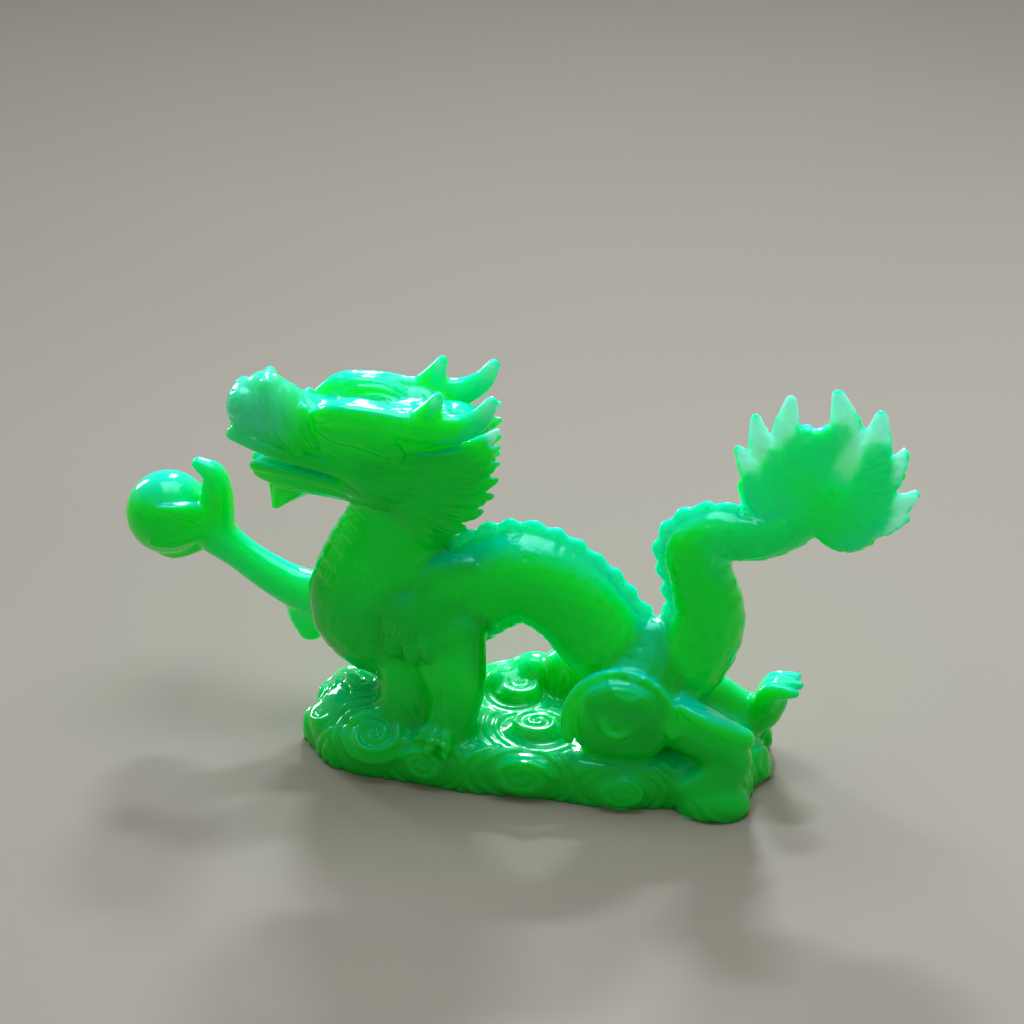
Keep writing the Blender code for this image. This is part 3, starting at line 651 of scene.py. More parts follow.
# share of the flame's length, thickness and width there
FLAME_SHAPE = ((0.35, 0.8, 0.9), (0.7, 0.6, 0.98), (0.88, 0.44, 0.66), (1.0, 0.34, 0.36))
PETAL_SHAPE = ((0.0, 1.5, 0.8), (0.35, 1.15, 0.95), (0.7, 0.85, 1.0), (1.0, 0.5, 0.5))
for x, z, wide in FAN_TIPS:
    across, upwards = x - FAN_ROOT[0], z - FAN_ROOT[1]
    outward = math.copysign(0.13, x - x0)
    rows = []
    for share, deep, broad in FLAME_SHAPE:
        bow = outward * math.sin(math.pi * share)
        rows.append((x - (1 - share) * across + bow * upwards, 0.5,
                     z - (1 - share) * upwards - bow * across, deep * flame_thick, broad * wide))
    lock(clay, rows, sides=16)
PETAL_TIPS = (
    # x, z of each petal's tip and its half width
    (28.6, 39.6, 2.4),
    (32.0, 43.4, 2.3),
    (36.0, 46.6, 2.5),
    (40.6, 47.4, 2.6),
    (44.8, 45.4, 2.5),
    (46.2, 40.6, 2.4),
    (46.6, 36.6, 2.3),
    (44.6, 32.6, 2.4),
)
for side in (-1, 1):
    for k, (x, z, wide) in enumerate(PETAL_TIPS):
        curl = 0.22 * (1 if k > 3 else -1)
        across, upwards = x - FAN_ROOT[0], z - FAN_ROOT[1]
        rows = []
        for share, thick, broad in PETAL_SHAPE:
            bow = curl * math.sin(math.pi * share)
            px = FAN_ROOT[0] + share * across + bow * upwards
            pz = FAN_ROOT[1] + share * upwards - bow * across
            rows.append((px, 0.5 + side * 0.75, pz, thick, wide * broad))
        lock(clay, rows, sides=16)
print(len(FAN_TIPS), "flames and", 2 * len(PETAL_TIPS), "petals")

# %% [markdown]
# The face
#
# A heavy brow runs back over each almond eye into an antler with two tines. A leaf-like ear hangs
# behind the eye, folds ring the muzzle behind the nostrils, and a thick lip runs along the mouth
# to the cheek. Both halves of the face are the same, so each form is written once for both sides.

# %% The face
for side in (-1, 1):
    # brow roll, eyeball and lower lid
    lock(clay, (
        (-11.4, side * 3.9, 6.5, 1.0, 1.1),
        (-8.8, side * 5.1, 7.7, 1.5, 1.3),
        (-4.4, side * 5.8, 7.4, 1.6, 1.4),
        (-0.4, side * 5.9, 6.4, 1.7, 1.7),
    ), head_point)
    blob(clay, head_point(-7.4, side * 5.3, 5.3), units(2.5, 1.3, 1.3))
    lock(clay, (
        (-11.2, side * 4.0, 4.9, 0.7, 0.7),
        (-8.8, side * 5.2, 3.9, 0.8, 0.75),
        (-5.2, side * 5.8, 3.8, 0.8, 0.8),
        (-1.4, side * 6.1, 4.8, 0.9, 1.0),
    ), head_point)
    # antler with two tines
    lock(clay, (
        (-1.5, side * 5.7, 6.2, 1.5, 1.9),
        (3.0, side * 5.9, 5.7, 1.8, 2.3),
        (7.4, side * 6.1, 5.8, 1.6, 2.0),
        (10.2, side * 6.2, 7.3, 1.3, 1.6),
        (11.8, side * 6.3, 9.6, 0.9, 1.0),
    ), head_point, sides=20, flutes=6, groove=0.06)
    lock(clay, (
        (2.8, side * 5.9, 6.4, 1.6, 2.5),
        (3.9, side * 6.0, 8.5, 1.3, 1.5),
        (4.8, side * 6.1, 10.2, 0.9, 0.9),
    ), head_point)
    # ear
    lock(clay, (
        (-5.8, side * 5.5, 3.3, 0.7, 0.7),
        (-2.6, side * 6.5, 3.0, 0.9, 1.3),
        (-0.6, side * 7.0, 2.0, 0.8, 1.2),
        (-1.6, side * 7.0, 0.6, 0.4, 0.4),
    ), head_point)
    # nostril wing, folds of the muzzle and the lip
    blob(clay, head_point(-21.6, side * 2.0, 7.2), units(2.0, 1.8, 2.4))
    lock(clay, (
        (-18.2, side * 2.0, 10.2, 0.9, 0.9),
        (-17.2, side * 3.4, 7.0, 0.75, 0.75),
        (-16.4, side * 3.9, 4.2, 0.75, 0.75),
        (-14.0, side * 4.0, 1.4, 0.75, 0.75),
    ), head_point)
    lock(clay, (
        (-13.2, side * 2.9, 7.0, 0.7, 0.7),
        (-13.0, side * 4.0, 4.6, 0.6, 0.6),
        (-11.8, side * 4.4, 2.4, 0.5, 0.5),
    ), head_point)
    lock(clay, (
        (-23.4, side * 1.8, 2.9, 0.7, 1.0),
        (-20.0, side * 3.2, 1.9, 0.7, 1.0),
        (-15.6, side * 3.8, 0.4, 0.7, 1.0),
        (-11.0, side * 4.4, -0.6, 0.7, 1.0),
        (-4.6, side * 5.6, -2.6, 0.7, 0.9),
    ), head_point)
    # lower lip
    lock(clay, (
        (-20.8, side * 1.4, -2.0, 0.5, 0.7),
        (-17.0, side * 2.8, -2.2, 0.6, 0.7),
        (-12.0, side * 3.7, -2.9, 0.6, 0.7),
        (-6.0, side * 5.0, -4.6, 0.5, 0.6),
    ), head_point)
blob(clay, head_point(-18.6, 0, 9.2), units(2.6, 2.6, 1.9))
# forehead crest
lock(clay, (
    (-10.6, 0, 4.2, 1.3, 1.5),
    (-4.0, 0, 4.8, 1.5, 1.7),
    (4.0, 0, 5.0, 1.8, 2.0),
), head_point, sides=24, flutes=6, groove=0.05)
# beard under the chin
lock(clay, (
    (-15.7, 0, -4.3, 2.3, 4.1),
    (-16.9, 0, -6.5, 1.6, 2.4),
    (-18.1, 0, -8.8, 0.6, 0.7),
), head_point, sides=20, flutes=6, groove=0.12)

# %% [markdown]
# The mane
#
# Locks of hair sweep back from the cheeks and end in a ragged edge behind the head, with fuller
# ones down the nape. Each lock is fluted and twists a little along its length, which reads as
# strands at this size. Separate strands would be thinner than the casting could hold.

# %% The mane
MANE_LOCKS = 8


def mane_tip(share):
    """Tips run down a nearly straight edge behind the cheek and curve in at the bottom."""
    return 12.5 - 8.6 * share**4, 4.4 - 17.2 * share


for side in (-1, 1):
    for k in range(MANE_LOCKS):
        share = k / (MANE_LOCKS - 1)
        x, z = mane_tip(share)
        wide = 5.6 - 0.8 * share
        lock(clay, (
            (-3.0, side * 4.8, 1.0 - 4.4 * share, 1.3, 1.7),
            (0.45 * x - 0.6, side * (wide + 0.6), 0.5 * z - 1.4, 1.5, 1.9),
            (0.78 * x, side * wide * 0.95, 0.82 * z - 0.9, 1.3, 1.5),
            (x, side * wide * 0.8, z + 0.3, 0.55, 0.55),
        ), head_point, sides=24, flutes=7, groove=0.16, twist=0.9 * k)
for k in range(4):
    x, z = mane_tip((k + 0.5) / 4)
    lock(clay, (
        (2.0, 0, -1.0 - k, 3.0, 2.6),
        (0.6 * x, 0, 0.62 * z, 3.0, 2.6),
        (0.94 * x, 0, 0.9 * z, 1.2, 0.8),
    ), head_point, sides=32, flutes=10, groove=0.12)
print(2 * MANE_LOCKS + 4, "locks in the mane")

# %% [markdown]
# Hair on the shoulders
#
# Short curls hang over the top of each fore leg in a fan, the same on both flanks. They lie close
# to the flesh, so they are fluted locks sunk by more than half. The haunches only have drawn hair.

# %% Hair on the shoulders
SHOULDER_TUFTS = (
    # x, y, z of each hanging curl's tip and its length
    (-21.6, -6.4, 13.0, 4.2),
    (-18.4, -7.6, 11.2, 4.6),
    (-15.6, -8.4, 10.8, 4.8),
    (-13.2, -8.7, 11.4, 5.0),
    (-10.4, -8.3, 12.0, 4.6),
)
for k, (x, y, z, length) in enumerate(SHOULDER_TUFTS):
    for side in (1, -1):
        lock(clay, (
            (x + 0.6, side * (y + 3.4), z + length, 1.2, 1.4),
            (x - 0.2, side * (y + 0.6), z + 0.55 * length, 1.3, 1.6),
            (x, side * y, z + 0.9, 1.0, 1.2),
            (x + 0.6, side * (y + 0.3), z, 0.45, 0.5),
        ), sides=20, flutes=5, groove=0.16, twist=0.8 * k)

# %% [markdown]
# Fusing the details
#
# The second skin is laid with a finer grain and only lightly smoothed, so locks, curls and teeth
# stay crisp. It is kept as arrays of points and directions, which makes drawing on it quick.

# %% Fusing the details
FINE_GRAIN = 0.0003
skin_mesh = fused(clay, "skin", FINE_GRAIN, 2)
point_count = len(skin_mesh.vertices)
places = np.empty(point_count * 3, dtype=np.float32)
skin_mesh.vertices.foreach_get("co", places)
places = places.reshape(-1, 3)
outwards = np.empty(point_count * 3, dtype=np.float32)
skin_mesh.vertex_normals.foreach_get("vector", outwards)
outwards = outwards.reshape(-1, 3)
skin_tree = BVHTree.FromPolygons(places.tolist(), [tuple(p.vertices) for p in skin_mesh.polygons])
neighbours = kdtree.KDTree(point_count)
for index, place in enumerate(places.tolist()):
    neighbours.insert(place, index)
neighbours.balance()
push = np.zeros(point_count)
print("skin ready after", round(time.time() - started, 1), "s")

# %% [markdown]
# A tool for drawn lines
#
# Wrinkles, lids, strands and the lines between toes were scratched into the first model with a
# pointed tool. Sculpt strokes would do it in a viewport. In a script the same stroke is a line
# that is thrown onto the skin from one side: each point of it presses the skin nearby inwards, or
# raises it where the depth is negative, with a soft edge and faded ends.

# %% A tool for drawn lines
def through(points, gap):
    """Evenly dense points on the smooth curve through the given ones, with shares of the way."""
    rows = [Vector(p) for p in points]
    rows = [2 * rows[0] - rows[1], *rows, 2 * rows[-1] - rows[-2]]
    found = []
    for i in range(1, len(rows) - 2):
        count = max(2, int((rows[i + 1] - rows[i]).length / gap) + 1)
        found += [smooth_between(*rows[i - 1 : i + 3], k / count) for k in range(count)]
    found.append(rows[-2])
    return [(point, k / (len(found) - 1)) for k, point in enumerate(found)]


def draw(points, facing, width=0.32, depth=0.22, above=6.0, fade=True):
    """Draws a line of places on the skin, seen from the facing side; width and depth in mm."""
    wide, deep = width / 1000, depth / 1000
    for point, share in through(points, 0.5 * wide):
        hit = skin_tree.ray_cast(point + facing * (above * UNIT), -facing, 2.2 * above * UNIT)[0]
        if hit is None:
            continue
        strength = deep * (min(1.0, 4 * math.sin(math.pi * share)) if fade else 1.0)
        for _, index, away in neighbours.find_range(hit, 2.1 * wide):
            amount = strength * math.exp(-((away / wide) ** 2))
            if abs(amount) > abs(push[index]):
                push[index] = amount


def draw_on_head(rows, side, y=5.0, **how):
    """Draws a line of head x, z pairs on one side of the head."""
    facing = (Matrix.Rotation(HEAD_TURN, 3, "Z") @ Vector((0, side, 0))).normalized()
    draw([head_point(x, side * y, z) for x, z in rows], facing, **how)


def draw_on_flank(rows, side, y=6.0, **how):
    """Draws a line of figure x, z pairs on one flank."""
    draw([figure(x, side * y, z) for x, z in rows], Vector((0, side, 0)), **how)


# %% [markdown]
# Lines of the face
#
# Lids, wrinkles over the nose and the folds of the cheek stand up as fine threads, as they do where
# a mould was scratched. Only the mouth's line, the nostrils and the pupils are cut in.

# %% Lines of the face
for side in (-1, 1):
    draw_on_head(((-11.6, 5.6), (-9.6, 6.8), (-7.0, 7.0), (-4.2, 6.4), (-2.0, 5.6)), side, depth=-0.24)
    draw_on_head(((-11.0, 5.4), (-9.2, 4.6), (-6.8, 4.4), (-4.2, 4.8), (-2.4, 5.4)), side, depth=-0.2)
    draw_on_head(((-8.2, 5.5), (-7.0, 5.5)), side, width=0.45, depth=0.2, fade=False)
    draw_on_head(((-9.6, 9.4), (-6.4, 9.6), (-2.6, 8.8), (0.6, 8.0)), side, depth=-0.15)
    draw_on_head(((-22.9, 7.0), (-22.2, 7.4)), side, width=0.6, depth=0.7, fade=False)
    draw_on_head(((-19.6, 9.8), (-19.2, 7.6), (-18.8, 5.2), (-17.4, 3.2)), side, depth=-0.22)
    draw_on_head(((-15.8, 8.2), (-15.2, 5.8), (-14.4, 3.6), (-12.6, 1.8)), side, depth=-0.2)
    draw_on_head(((-23.2, 1.7), (-20.0, 0.7), (-15.6, -0.9), (-11.0, -1.9), (-5.4, -3.7)), side,
                 width=0.36, depth=0.32)
    draw_on_head(((-10.0, 1.6), (-7.6, 0.6), (-4.4, 0.4), (-1.4, -0.4)), side, depth=-0.2)
    draw_on_head(((-9.2, 0.0), (-6.4, -1.2), (-3.2, -1.6)), side, depth=-0.18)
    draw_on_head(((-5.0, 3.0), (-3.0, 2.6), (-1.4, 1.4)), side, y=7.0, depth=-0.2)
    draw_on_head(((-16.2, -4.4), (-13.0, -5.0), (-9.0, -5.6), (-4.8, -6.6)), side, depth=-0.18)
nose_front = (Matrix.Rotation(HEAD_TURN, 3, "Z") @ Vector((-1, 0, 0))).normalized()
for k in range(5):
    z = 4.4 + 1.15 * k
    for side in (-1, 1):
        draw([head_point(-24, side * y, z - 0.25 * y) for y in (0.6, 1.6, 2.6, 3.2)], nose_front,
             width=0.26, depth=0.12)
for k in range(4):
    x = -17.6 + 1.3 * k
    draw([head_point(x + 0.5 * abs(y), y, 11) for y in (-2.4, -1.2, 0, 1.2, 2.4)], UPRIGHT,
         width=0.28, depth=0.18)

# %% [markdown]
# Strands of the mane and beard
#
# Long wavering lines follow each lock from the cheek to its tip. The waver comes from a sine whose
# phase changes from strand to strand, so no two run side by side for long.

# %% Strands of the mane and beard
for side in (-1, 1):
    for k in range(3 * MANE_LOCKS):
        share = (k + 0.3) / (3 * MANE_LOCKS)
        x, z = mane_tip(share)
        root = (-4.6 + 1.6 * math.sin(2.3 * k), 1.4 - 5.4 * share)
        strand = []
        for step in range(7):
            t = step / 6
            waver = 0.32 * math.sin(5.2 * t + 1.7 * k) * (1 - 0.5 * t)
            strand.append((root[0] + t * (x - root[0]), root[1] + t**1.25 * (z - root[1]) + waver))
        draw_on_head(strand, side, y=6.0, width=0.27, depth=0.26)
    for k in range(3):
        hair = ((-14.6 - 0.7 * k, -5.2), (-16.2 - 0.4 * k, -6.4), (-17.8 - 0.1 * k, -8.2))
        draw_on_head(hair, side, y=1.0, width=0.26, depth=0.2)
for k in range(-3, 4):
    draw([head_point(x, 0.85 * k, z) for x, z in ((-9.0, 8), (-4.0, 9), (2.0, 8), (7.0, 6))], UPRIGHT,
         width=0.26, depth=0.2)
    for low in (0, 1):
        hair = [Vector((14, 1.5 * k + 0.3 * t, 2.5 - 6.5 * low - 1.6 * t)) for t in range(4)]
        draw([figure(*(HEAD_PIVOT + place)) for place in hair], LENGTHWISE, width=0.3, depth=0.24)

# %% [markdown]
# Lines on hair, paws, bowl and fan
#
# The same tool marks the tufts, parts the toes, rings the bowl and rays the fan. Curled hair on
# the haunch and the shoulder is drawn as thin raised lines.

# %% Lines on hair, paws, bowl and fan
for x, y, z, length in SHOULDER_TUFTS:
    for side in (-1, 1):
        for offset in (-0.55, 0.45):
            draw_on_flank(((x + offset + 0.6, z + 1.1 * length), (x + offset - 0.2, z + 0.6 * length),
                           (x + offset, z + 1.0)), side, y=8.0, width=0.26, depth=0.2)
HAUNCH_HAIR = (
    ((11.2, 18.6), (10.9, 15.0), (11.8, 11.6), (14.2, 9.8), (17.0, 10.4)),
    ((13.0, 17.4), (12.8, 14.6), (14.0, 12.2), (16.2, 11.8), (17.4, 13.4), (16.4, 15.2)),
    ((14.8, 16.8), (14.6, 15.0), (15.4, 14.0)),
    ((17.0, 18.0), (18.4, 15.2), (19.0, 12.6), (18.2, 10.6)),
    ((19.4, 16.4), (20.6, 13.8), (21.0, 11.6), (20.2, 9.8)),
    ((21.4, 14.4), (22.4, 12.2), (22.4, 10.2)),
)
SHOULDER_HAIR = (
    ((-19.8, 17.6), (-20.0, 15.4), (-18.4, 14.2), (-17.2, 15.4), (-18.0, 16.4)),
    ((-15.8, 17.2), (-16.2, 15.2), (-14.8, 13.8), (-13.4, 14.8), (-14.0, 16.0)),
    ((-12.0, 17.4), (-12.4, 15.6), (-11.2, 14.6), (-10.2, 15.6)),
)
for path in HAUNCH_HAIR + SHOULDER_HAIR:
    for side in (-1, 1):
        draw_on_flank(path, side, y=8.0, width=0.3, depth=-0.2)
for k in (-0.5, 0.5):
    ahead = Matrix.Rotation(0.6 * k, 3, "Z") @ Vector((-0.35, -0.9, 0)).normalized()
    draw([figure(-11.2, -8.6, 2.0) + ahead * (t * UNIT) for t in (-1.0, 1.0, 3.0, 4.2)],
         UPRIGHT + 0.4 * ahead, width=0.3, depth=0.28)
for ring in (0.66, 0.8, 0.92):
    draw([on_bowl(ring, degrees, 2.0) for degrees in range(165, 376, 15)], BOWL_FACING, width=0.3,
         depth=0.14)
for side in (-1, 1):
    facing = Vector((0, side, 0))
    for k in range(30):
        a = math.radians(-72 + 234 * k / 29)
        bend = 0.3 * math.cos(a)
        ray = []
        for step in range(5):
            reach = 3.4 + 9.4 * step / 4
            turn = a + bend * (1 - step / 4)
            ray.append(figure(FAN_MIDDLE[0] + reach * math.cos(turn), 0.5,
                              FAN_MIDDLE[1] + reach * math.sin(turn)))
        draw(ray, facing, width=0.28, depth=0.15)
print("lines drawn after", round(time.time() - started, 1), "s")

# %% [markdown]
# Scales and belly plates
#
# The flanks carry faint overlapping scales, and the belly side broad plates that run from the
# throat over the chest and along the outside of the tail's loop. Both follow the body's curve, so
# every point of the skin is first given its distance along the body and its angle round it, from
# the back at zero to the belly at pi. The patterns are then sums on those two numbers.

# %% Scales and belly plates
spine = sampled(unit_stations(BODY), 24)
spine_points = np.array([tuple(row[0]) for row in spine])
half_sizes = np.array([row[1:] for row in spine])
ahead = np.gradient(spine_points, axis=0)
ahead /= np.linalg.norm(ahead, axis=1, keepdims=True)
upward = np.cross(ahead, np.array(ACROSS))
upward /= np.linalg.norm(upward, axis=1, keepdims=True)
steps_between = np.linalg.norm(np.diff(spine_points, axis=0), axis=1)
along_spine = np.concatenate([[0.0], np.cumsum(steps_between)])


def soft_step(low, high, value):
    t = np.clip((value - low) / (high - low), 0, 1)
    return t * t * (3 - 2 * t)


def body_coordinates(points):
    """Distance along the body, angle from the back, reach as a share of the roll's size, and size."""
    nearest = np.empty(len(points), dtype=np.int64)
    for start in range(0, len(points), 20000):
        part = points[start : start + 20000]
        nearest[start : start + 20000] = np.argmin(
            ((part[:, None, :] - spine_points[None, :, :]) ** 2).sum(axis=2), axis=1
        )
    offset = points - spine_points[nearest]
    along = along_spine[nearest] + (offset * ahead[nearest]).sum(axis=1)
    up = (offset * upward[nearest]).sum(axis=1)
    out = offset[:, 1]
    wide, high = half_sizes[nearest].T
    return along, np.arctan2(np.abs(out), up), np.hypot(out / wide, up / high), 0.5 * (wide + high)


def scale_pattern(a, b):
    """Overlapping scales in rows along a: height from 0 at the root to 1 at the free edge."""
    height = np.zeros(len(a))
    covered = np.zeros(len(a), dtype=bool)
    for back_row in (1, 0):
        row = np.floor(a) - back_row
        shift = 0.5 * (row % 2)
        sideways = (b - shift) - np.round(b - shift)
        length = 1.0 + 0.62 * np.sqrt(np.clip(1 - (2 * sideways) ** 2, 0, 1))
        grown = (a - row) / length
        here = (grown < 1) & ~covered
        height[here] = grown[here]
        covered |= here
    return height


along, angle, reach, size = body_coordinates(places)
on_body = 1 - soft_step(1.12, 1.3, reach)
SCALE_PITCH, PLATE_PITCH = 0.0021, 0.0023
SCALE_DEPTH, PLATE_DEPTH, EDGE_DEPTH, GROOVE_DEPTH = 0.00024, 0.00015, 0.00006, 0.00009
flank = on_body * soft_step(0.45, 0.65, angle) * (1 - soft_step(2.05, 2.3, angle))
flank *= soft_step(0.012, 0.02, along)
scales = scale_pattern(along / SCALE_PITCH, angle * size / (0.95 * SCALE_PITCH))
belly = on_body * soft_step(2.32, 2.42, angle)
plates = (along / PLATE_PITCH) % 1.0
plate_edge = np.exp(-(((angle - 2.34) / 0.05) ** 2)) * on_body
fin_side = on_body * (1 - soft_step(0.25, 0.5, angle))
fin_grooves = 0.5 + 0.5 * np.cos(2 * math.pi * (along / (SPINE_PITCH / 3)))
away_from_lines = 1 - np.clip(np.abs(push) / 0.0001, 0, 1)
relief = flank * (scales - 0.5) * SCALE_DEPTH * away_from_lines
relief += belly * (plates**1.5 - 0.4) * PLATE_DEPTH - plate_edge * EDGE_DEPTH
relief -= fin_side * fin_grooves * GROOVE_DEPTH
lowest, highest = 1000 * float(relief.min()), 1000 * float(relief.max())
print("relief from", round(lowest, 2), "to", round(highest, 2), "mm")

# %% [markdown]
# Ridges of the clouds
#
# Between the curls the plinth is a glossy tangle of rounded ridges that follow the curls, like
# ripples round stones. Drawing each one would take hundreds of lines. So every point of the skin
# near the plinth finds its nearest curl and its place round it, and the ridges are the rounded
# crests of that distance, wound on as a spiral and bent a little so that they don't look turned.
# Flesh, bowl and paw are kept smooth.

# %% Ridges of the clouds
RIDGE_PITCH, RIDGE_HEIGHT = 0.00135, 0.00042
nearest_curl = np.full(point_count, 9.0)
ridge_turn = np.zeros(point_count)
beyond_curl = np.zeros(point_count)
for centre, facing, wide, tall, hand in curls:
    side = (LENGTHWISE - facing * LENGTHWISE.dot(facing)).normalized()
    offset = places - np.array(centre)
    u = offset @ np.array(side) / (wide * UNIT)
    v = offset @ np.array(facing.cross(side)) / (tall * UNIT)
    away = np.hypot(u, v)
    nearness = away + np.abs(offset @ np.array(facing)) / (3.5 * UNIT)
    closer = nearness < nearest_curl
    nearest_curl[closer] = nearness[closer]
    beyond_curl[closer] = away[closer]
    turn = away * 0.5 * (wide + tall) * UNIT / RIDGE_PITCH - hand * np.arctan2(v, u) / (2 * math.pi)
    ridge_turn[closer] = turn[closer]
x, y, z = places.T
ridge_turn += 0.22 * np.sin(430 * x + 260 * y) + 0.18 * np.sin(380 * z - 520 * y + 1.3)

flesh_rows = np.array([(*point, max(wide, high)) for point, wide, high in flesh])
near_flesh = np.full(point_count, 9.0)
low_down = z < PLINTH_HEIGHT + 6 * UNIT
for *point, size in flesh_rows:
    apart = np.linalg.norm(places[low_down] - np.array(point), axis=1) / size
    near_flesh[low_down] = np.minimum(near_flesh[low_down], apart)
from_bowl = (places - np.array(BOWL_CENTRE)) / UNIT
in_bowl = np.hypot(from_bowl[:, 0] / 8.3, (from_bowl @ np.array(BOWL_RISE)) / 7.9)
cloud = soft_step(0.92, 1.1, beyond_curl) * (1 - soft_step(2.8, 3.8, nearest_curl))
cloud *= soft_step(1.1, 1.35, near_flesh) * soft_step(0.95, 1.05, in_bowl) * (1 - on_body)
cloud *= 1 - soft_step(2.6, 4.2, (z - PLINTH_HEIGHT) / UNIT)
crests = np.abs(np.sin(math.pi * ridge_turn))
cloud_relief = cloud * (crests - 0.62) * RIDGE_HEIGHT
print("ridges on", int((cloud > 0.5).sum()), "points of the plinth")

# %% [markdown]
# Pushing the skin
#
# A displacement map would do the same only at render time, and couldn't be exported. So lines,
# scales and ridges are added up, and every point moves once along its own outward direction.

# %% Pushing the skin
places += outwards * (relief + cloud_relief - push)[:, None]
skin_mesh.vertices.foreach_set("co", places.ravel())
skin_mesh.update()
print("skin pushed after", round(time.time() - started, 1), "s")

# %% [markdown]
# Thinning out and the flat underside
#
# The skin has far more triangles than it needs on smooth ground. Decimate takes them away where
# the surface is flattest, which leaves the carving alone. Then the clay below the ground is cut
# off by a plane, and the hole is closed, which gives the sole that the piece stands on.

# %% Thinning out and the flat underside
MOST_TRIANGLES = 192000
skin = bpy.data.objects.new("skin", skin_mesh)
bpy.context.scene.collection.objects.link(skin)
skin_mesh.calc_loop_triangles()
thin_out = skin.modifiers.new("Thin out", "DECIMATE")
thin_out.ratio = min(1.0, MOST_TRIANGLES / len(skin_mesh.loop_triangles))
bpy.context.view_layer.update()
graph = bpy.context.evaluated_depsgraph_get()
carved = bmesh.new()
carved.from_mesh(bpy.data.meshes.new_from_object(skin.evaluated_get(graph)))
bpy.data.objects.remove(skin)
everything = carved.verts[:] + carved.edges[:] + carved.faces[:]
cut = bmesh.ops.bisect_plane(
    carved, geom=everything, plane_co=(0, 0, 0), plane_no=(0, 0, -1), clear_outer=True
)
rim = [e for e in cut["geom_cut"] if isinstance(e, bmesh.types.BMEdge)]
sole = bmesh.ops.contextual_create(carved, geom=rim)["faces"]
for face in carved.faces:
    face.smooth = True
for face in sole:
    face.smooth = False
for edge in rim:
    if edge.is_valid:
        edge.smooth = False
dragon_mesh = bpy.data.meshes.new("dragon_carved")
carved.to_mesh(dragon_mesh)
carved.free()
dragon = bpy.data.objects.new("dragon_carved", dragon_mesh)
bpy.context.scene.collection.objects.link(dragon)
dragon_mesh.calc_loop_triangles()
print(len(sole), "sole face,", len(dragon_mesh.loop_triangles), "triangles after",
      round(time.time() - started, 1), "s")

# %% [markdown]
# How thick the resin is
#
# Clear resin looks deep green where it is thick and pale where it is thin, because of the way
# light crosses it. Light transport through the solid gives part of that, and the rest is painted
# into the colour, so the colour should know the thickness. A ray is sent inwards from every point,
# and its length to the far side is evened out over the neighbours. The thick middle and all that
# stands low down get painted shade, the core shade.

# %% How thick the resin is
def averaged(values, mesh, rounds):
    """Each value moved to the mean of its neighbours along the edges, some rounds over."""
    ends = np.empty(len(mesh.edges) * 2, dtype=np.int64)
    mesh.edges.foreach_get("vertices", ends)
    a, b = ends.reshape(-1, 2).T
    count = np.bincount(a, minlength=len(values)) + np.bincount(b, minlength=len(values))
    for _ in range(rounds):
        total = np.bincount(a, values[b], len(values)) + np.bincount(b, values[a], len(values))
        values = 0.5 * values + 0.5 * total / np.maximum(count, 1)
    return values


def read(collection, name, count):
    found = np.empty(count * 3, dtype=np.float32)
    collection.foreach_get(name, found)
    return found.reshape(-1, 3)


def add_attribute(mesh, name, values):
    mesh.attributes.new(name, "FLOAT", "POINT").data.foreach_set("value", values.astype(np.float32))
    print(name, "from", round(float(values.min()), 2), "to", round(float(values.max()), 2),
          "mean", round(float(values.mean()), 2))


vertex_count = len(dragon_mesh.vertices)
spots = read(dragon_mesh.vertices, "co", vertex_count)
normals = read(dragon_mesh.vertex_normals, "vector", vertex_count)
carved_tree = BVHTree.FromPolygons(spots.tolist(), [tuple(p.vertices) for p in dragon_mesh.polygons])
THICKEST = 0.024  # metres a ray goes at most
depth = np.full(vertex_count, THICKEST)
for index in range(vertex_count):
    spot, normal = Vector(spots[index]), Vector(normals[index])
    length = carved_tree.ray_cast(spot - normal * 0.0002, -normal, THICKEST)[3]
    if length is not None:
        depth[index] = length
depth = averaged(depth, dragon_mesh, 8)
# painted shade: the thick core is made deeper green, as where light crosses much resin
core_shade = soft_step(0.011, 0.019, averaged(depth, dragon_mesh, 30))
# painted shade: all that stands low down is made deeper green, where less light reaches
low_down = 1 - soft_step(0.007, 0.018, spots[:, 2])
add_attribute(dragon_mesh, "core_shade", np.maximum(core_shade, low_down))
print("thickness measured after", round(time.time() - started, 1), "s")

# %% [markdown]
# Thin parts that stand free
#
# The fan, the thumb, the far paw and the antlers have light all round them, and a painted glow
# turns them pale towards their edges, where light shines through. Lips and locks are as thin, but
# they lie on thick resin and stay green. So thinness only counts inside a few balls round the free
# parts. The end of the muzzle gets a little of the palest colour too, a painted highlight on the nose.

# %% Thin parts that stand free
FREE_PARTS = (
    # middle and radius of the parts that stand free: fan, thumb, far paw and both antlers
    (figure(38.6, 0.5, 40.0), 16.0),
    (figure(-48.6, 8.4, 29.4), 4.0),
    (figure(36.0, 4.0, 5.4), 4.0),
    (head_point(9.0, -6.0, 7.6), 7.0),
    (head_point(9.0, 6.0, 7.6), 7.0),
)


def near_balls(balls, inner):
    """One inside the balls, falling to zero between the inner share of a radius and the whole."""
    near = np.zeros(vertex_count)
    for middle, radius in balls:
        apart = np.linalg.norm(spots - np.array(middle), axis=1) / (radius * UNIT)
        near = np.maximum(near, 1 - soft_step(inner, 1.0, apart))
    return near


free = near_balls(FREE_PARTS, 0.75)
# painted glow: thin free parts are made paler, where light shines through them
add_attribute(dragon_mesh, "thinness", free * (1 - soft_step(0.0010, 0.0055, depth)))
muzzle = np.linalg.norm((spots - np.array(head_point(-20.0, 0, 7.0))) / UNIT, axis=1)
muzzle_end = 1 - soft_step(2.5, 9.0, muzzle)
# painted glow on thin free edges, and a painted highlight on the end of the muzzle
rim = free * (1 - soft_step(0.0008, 0.0026, depth))
add_attribute(dragon_mesh, "rim", np.maximum(rim, 0.15 * muzzle_end))
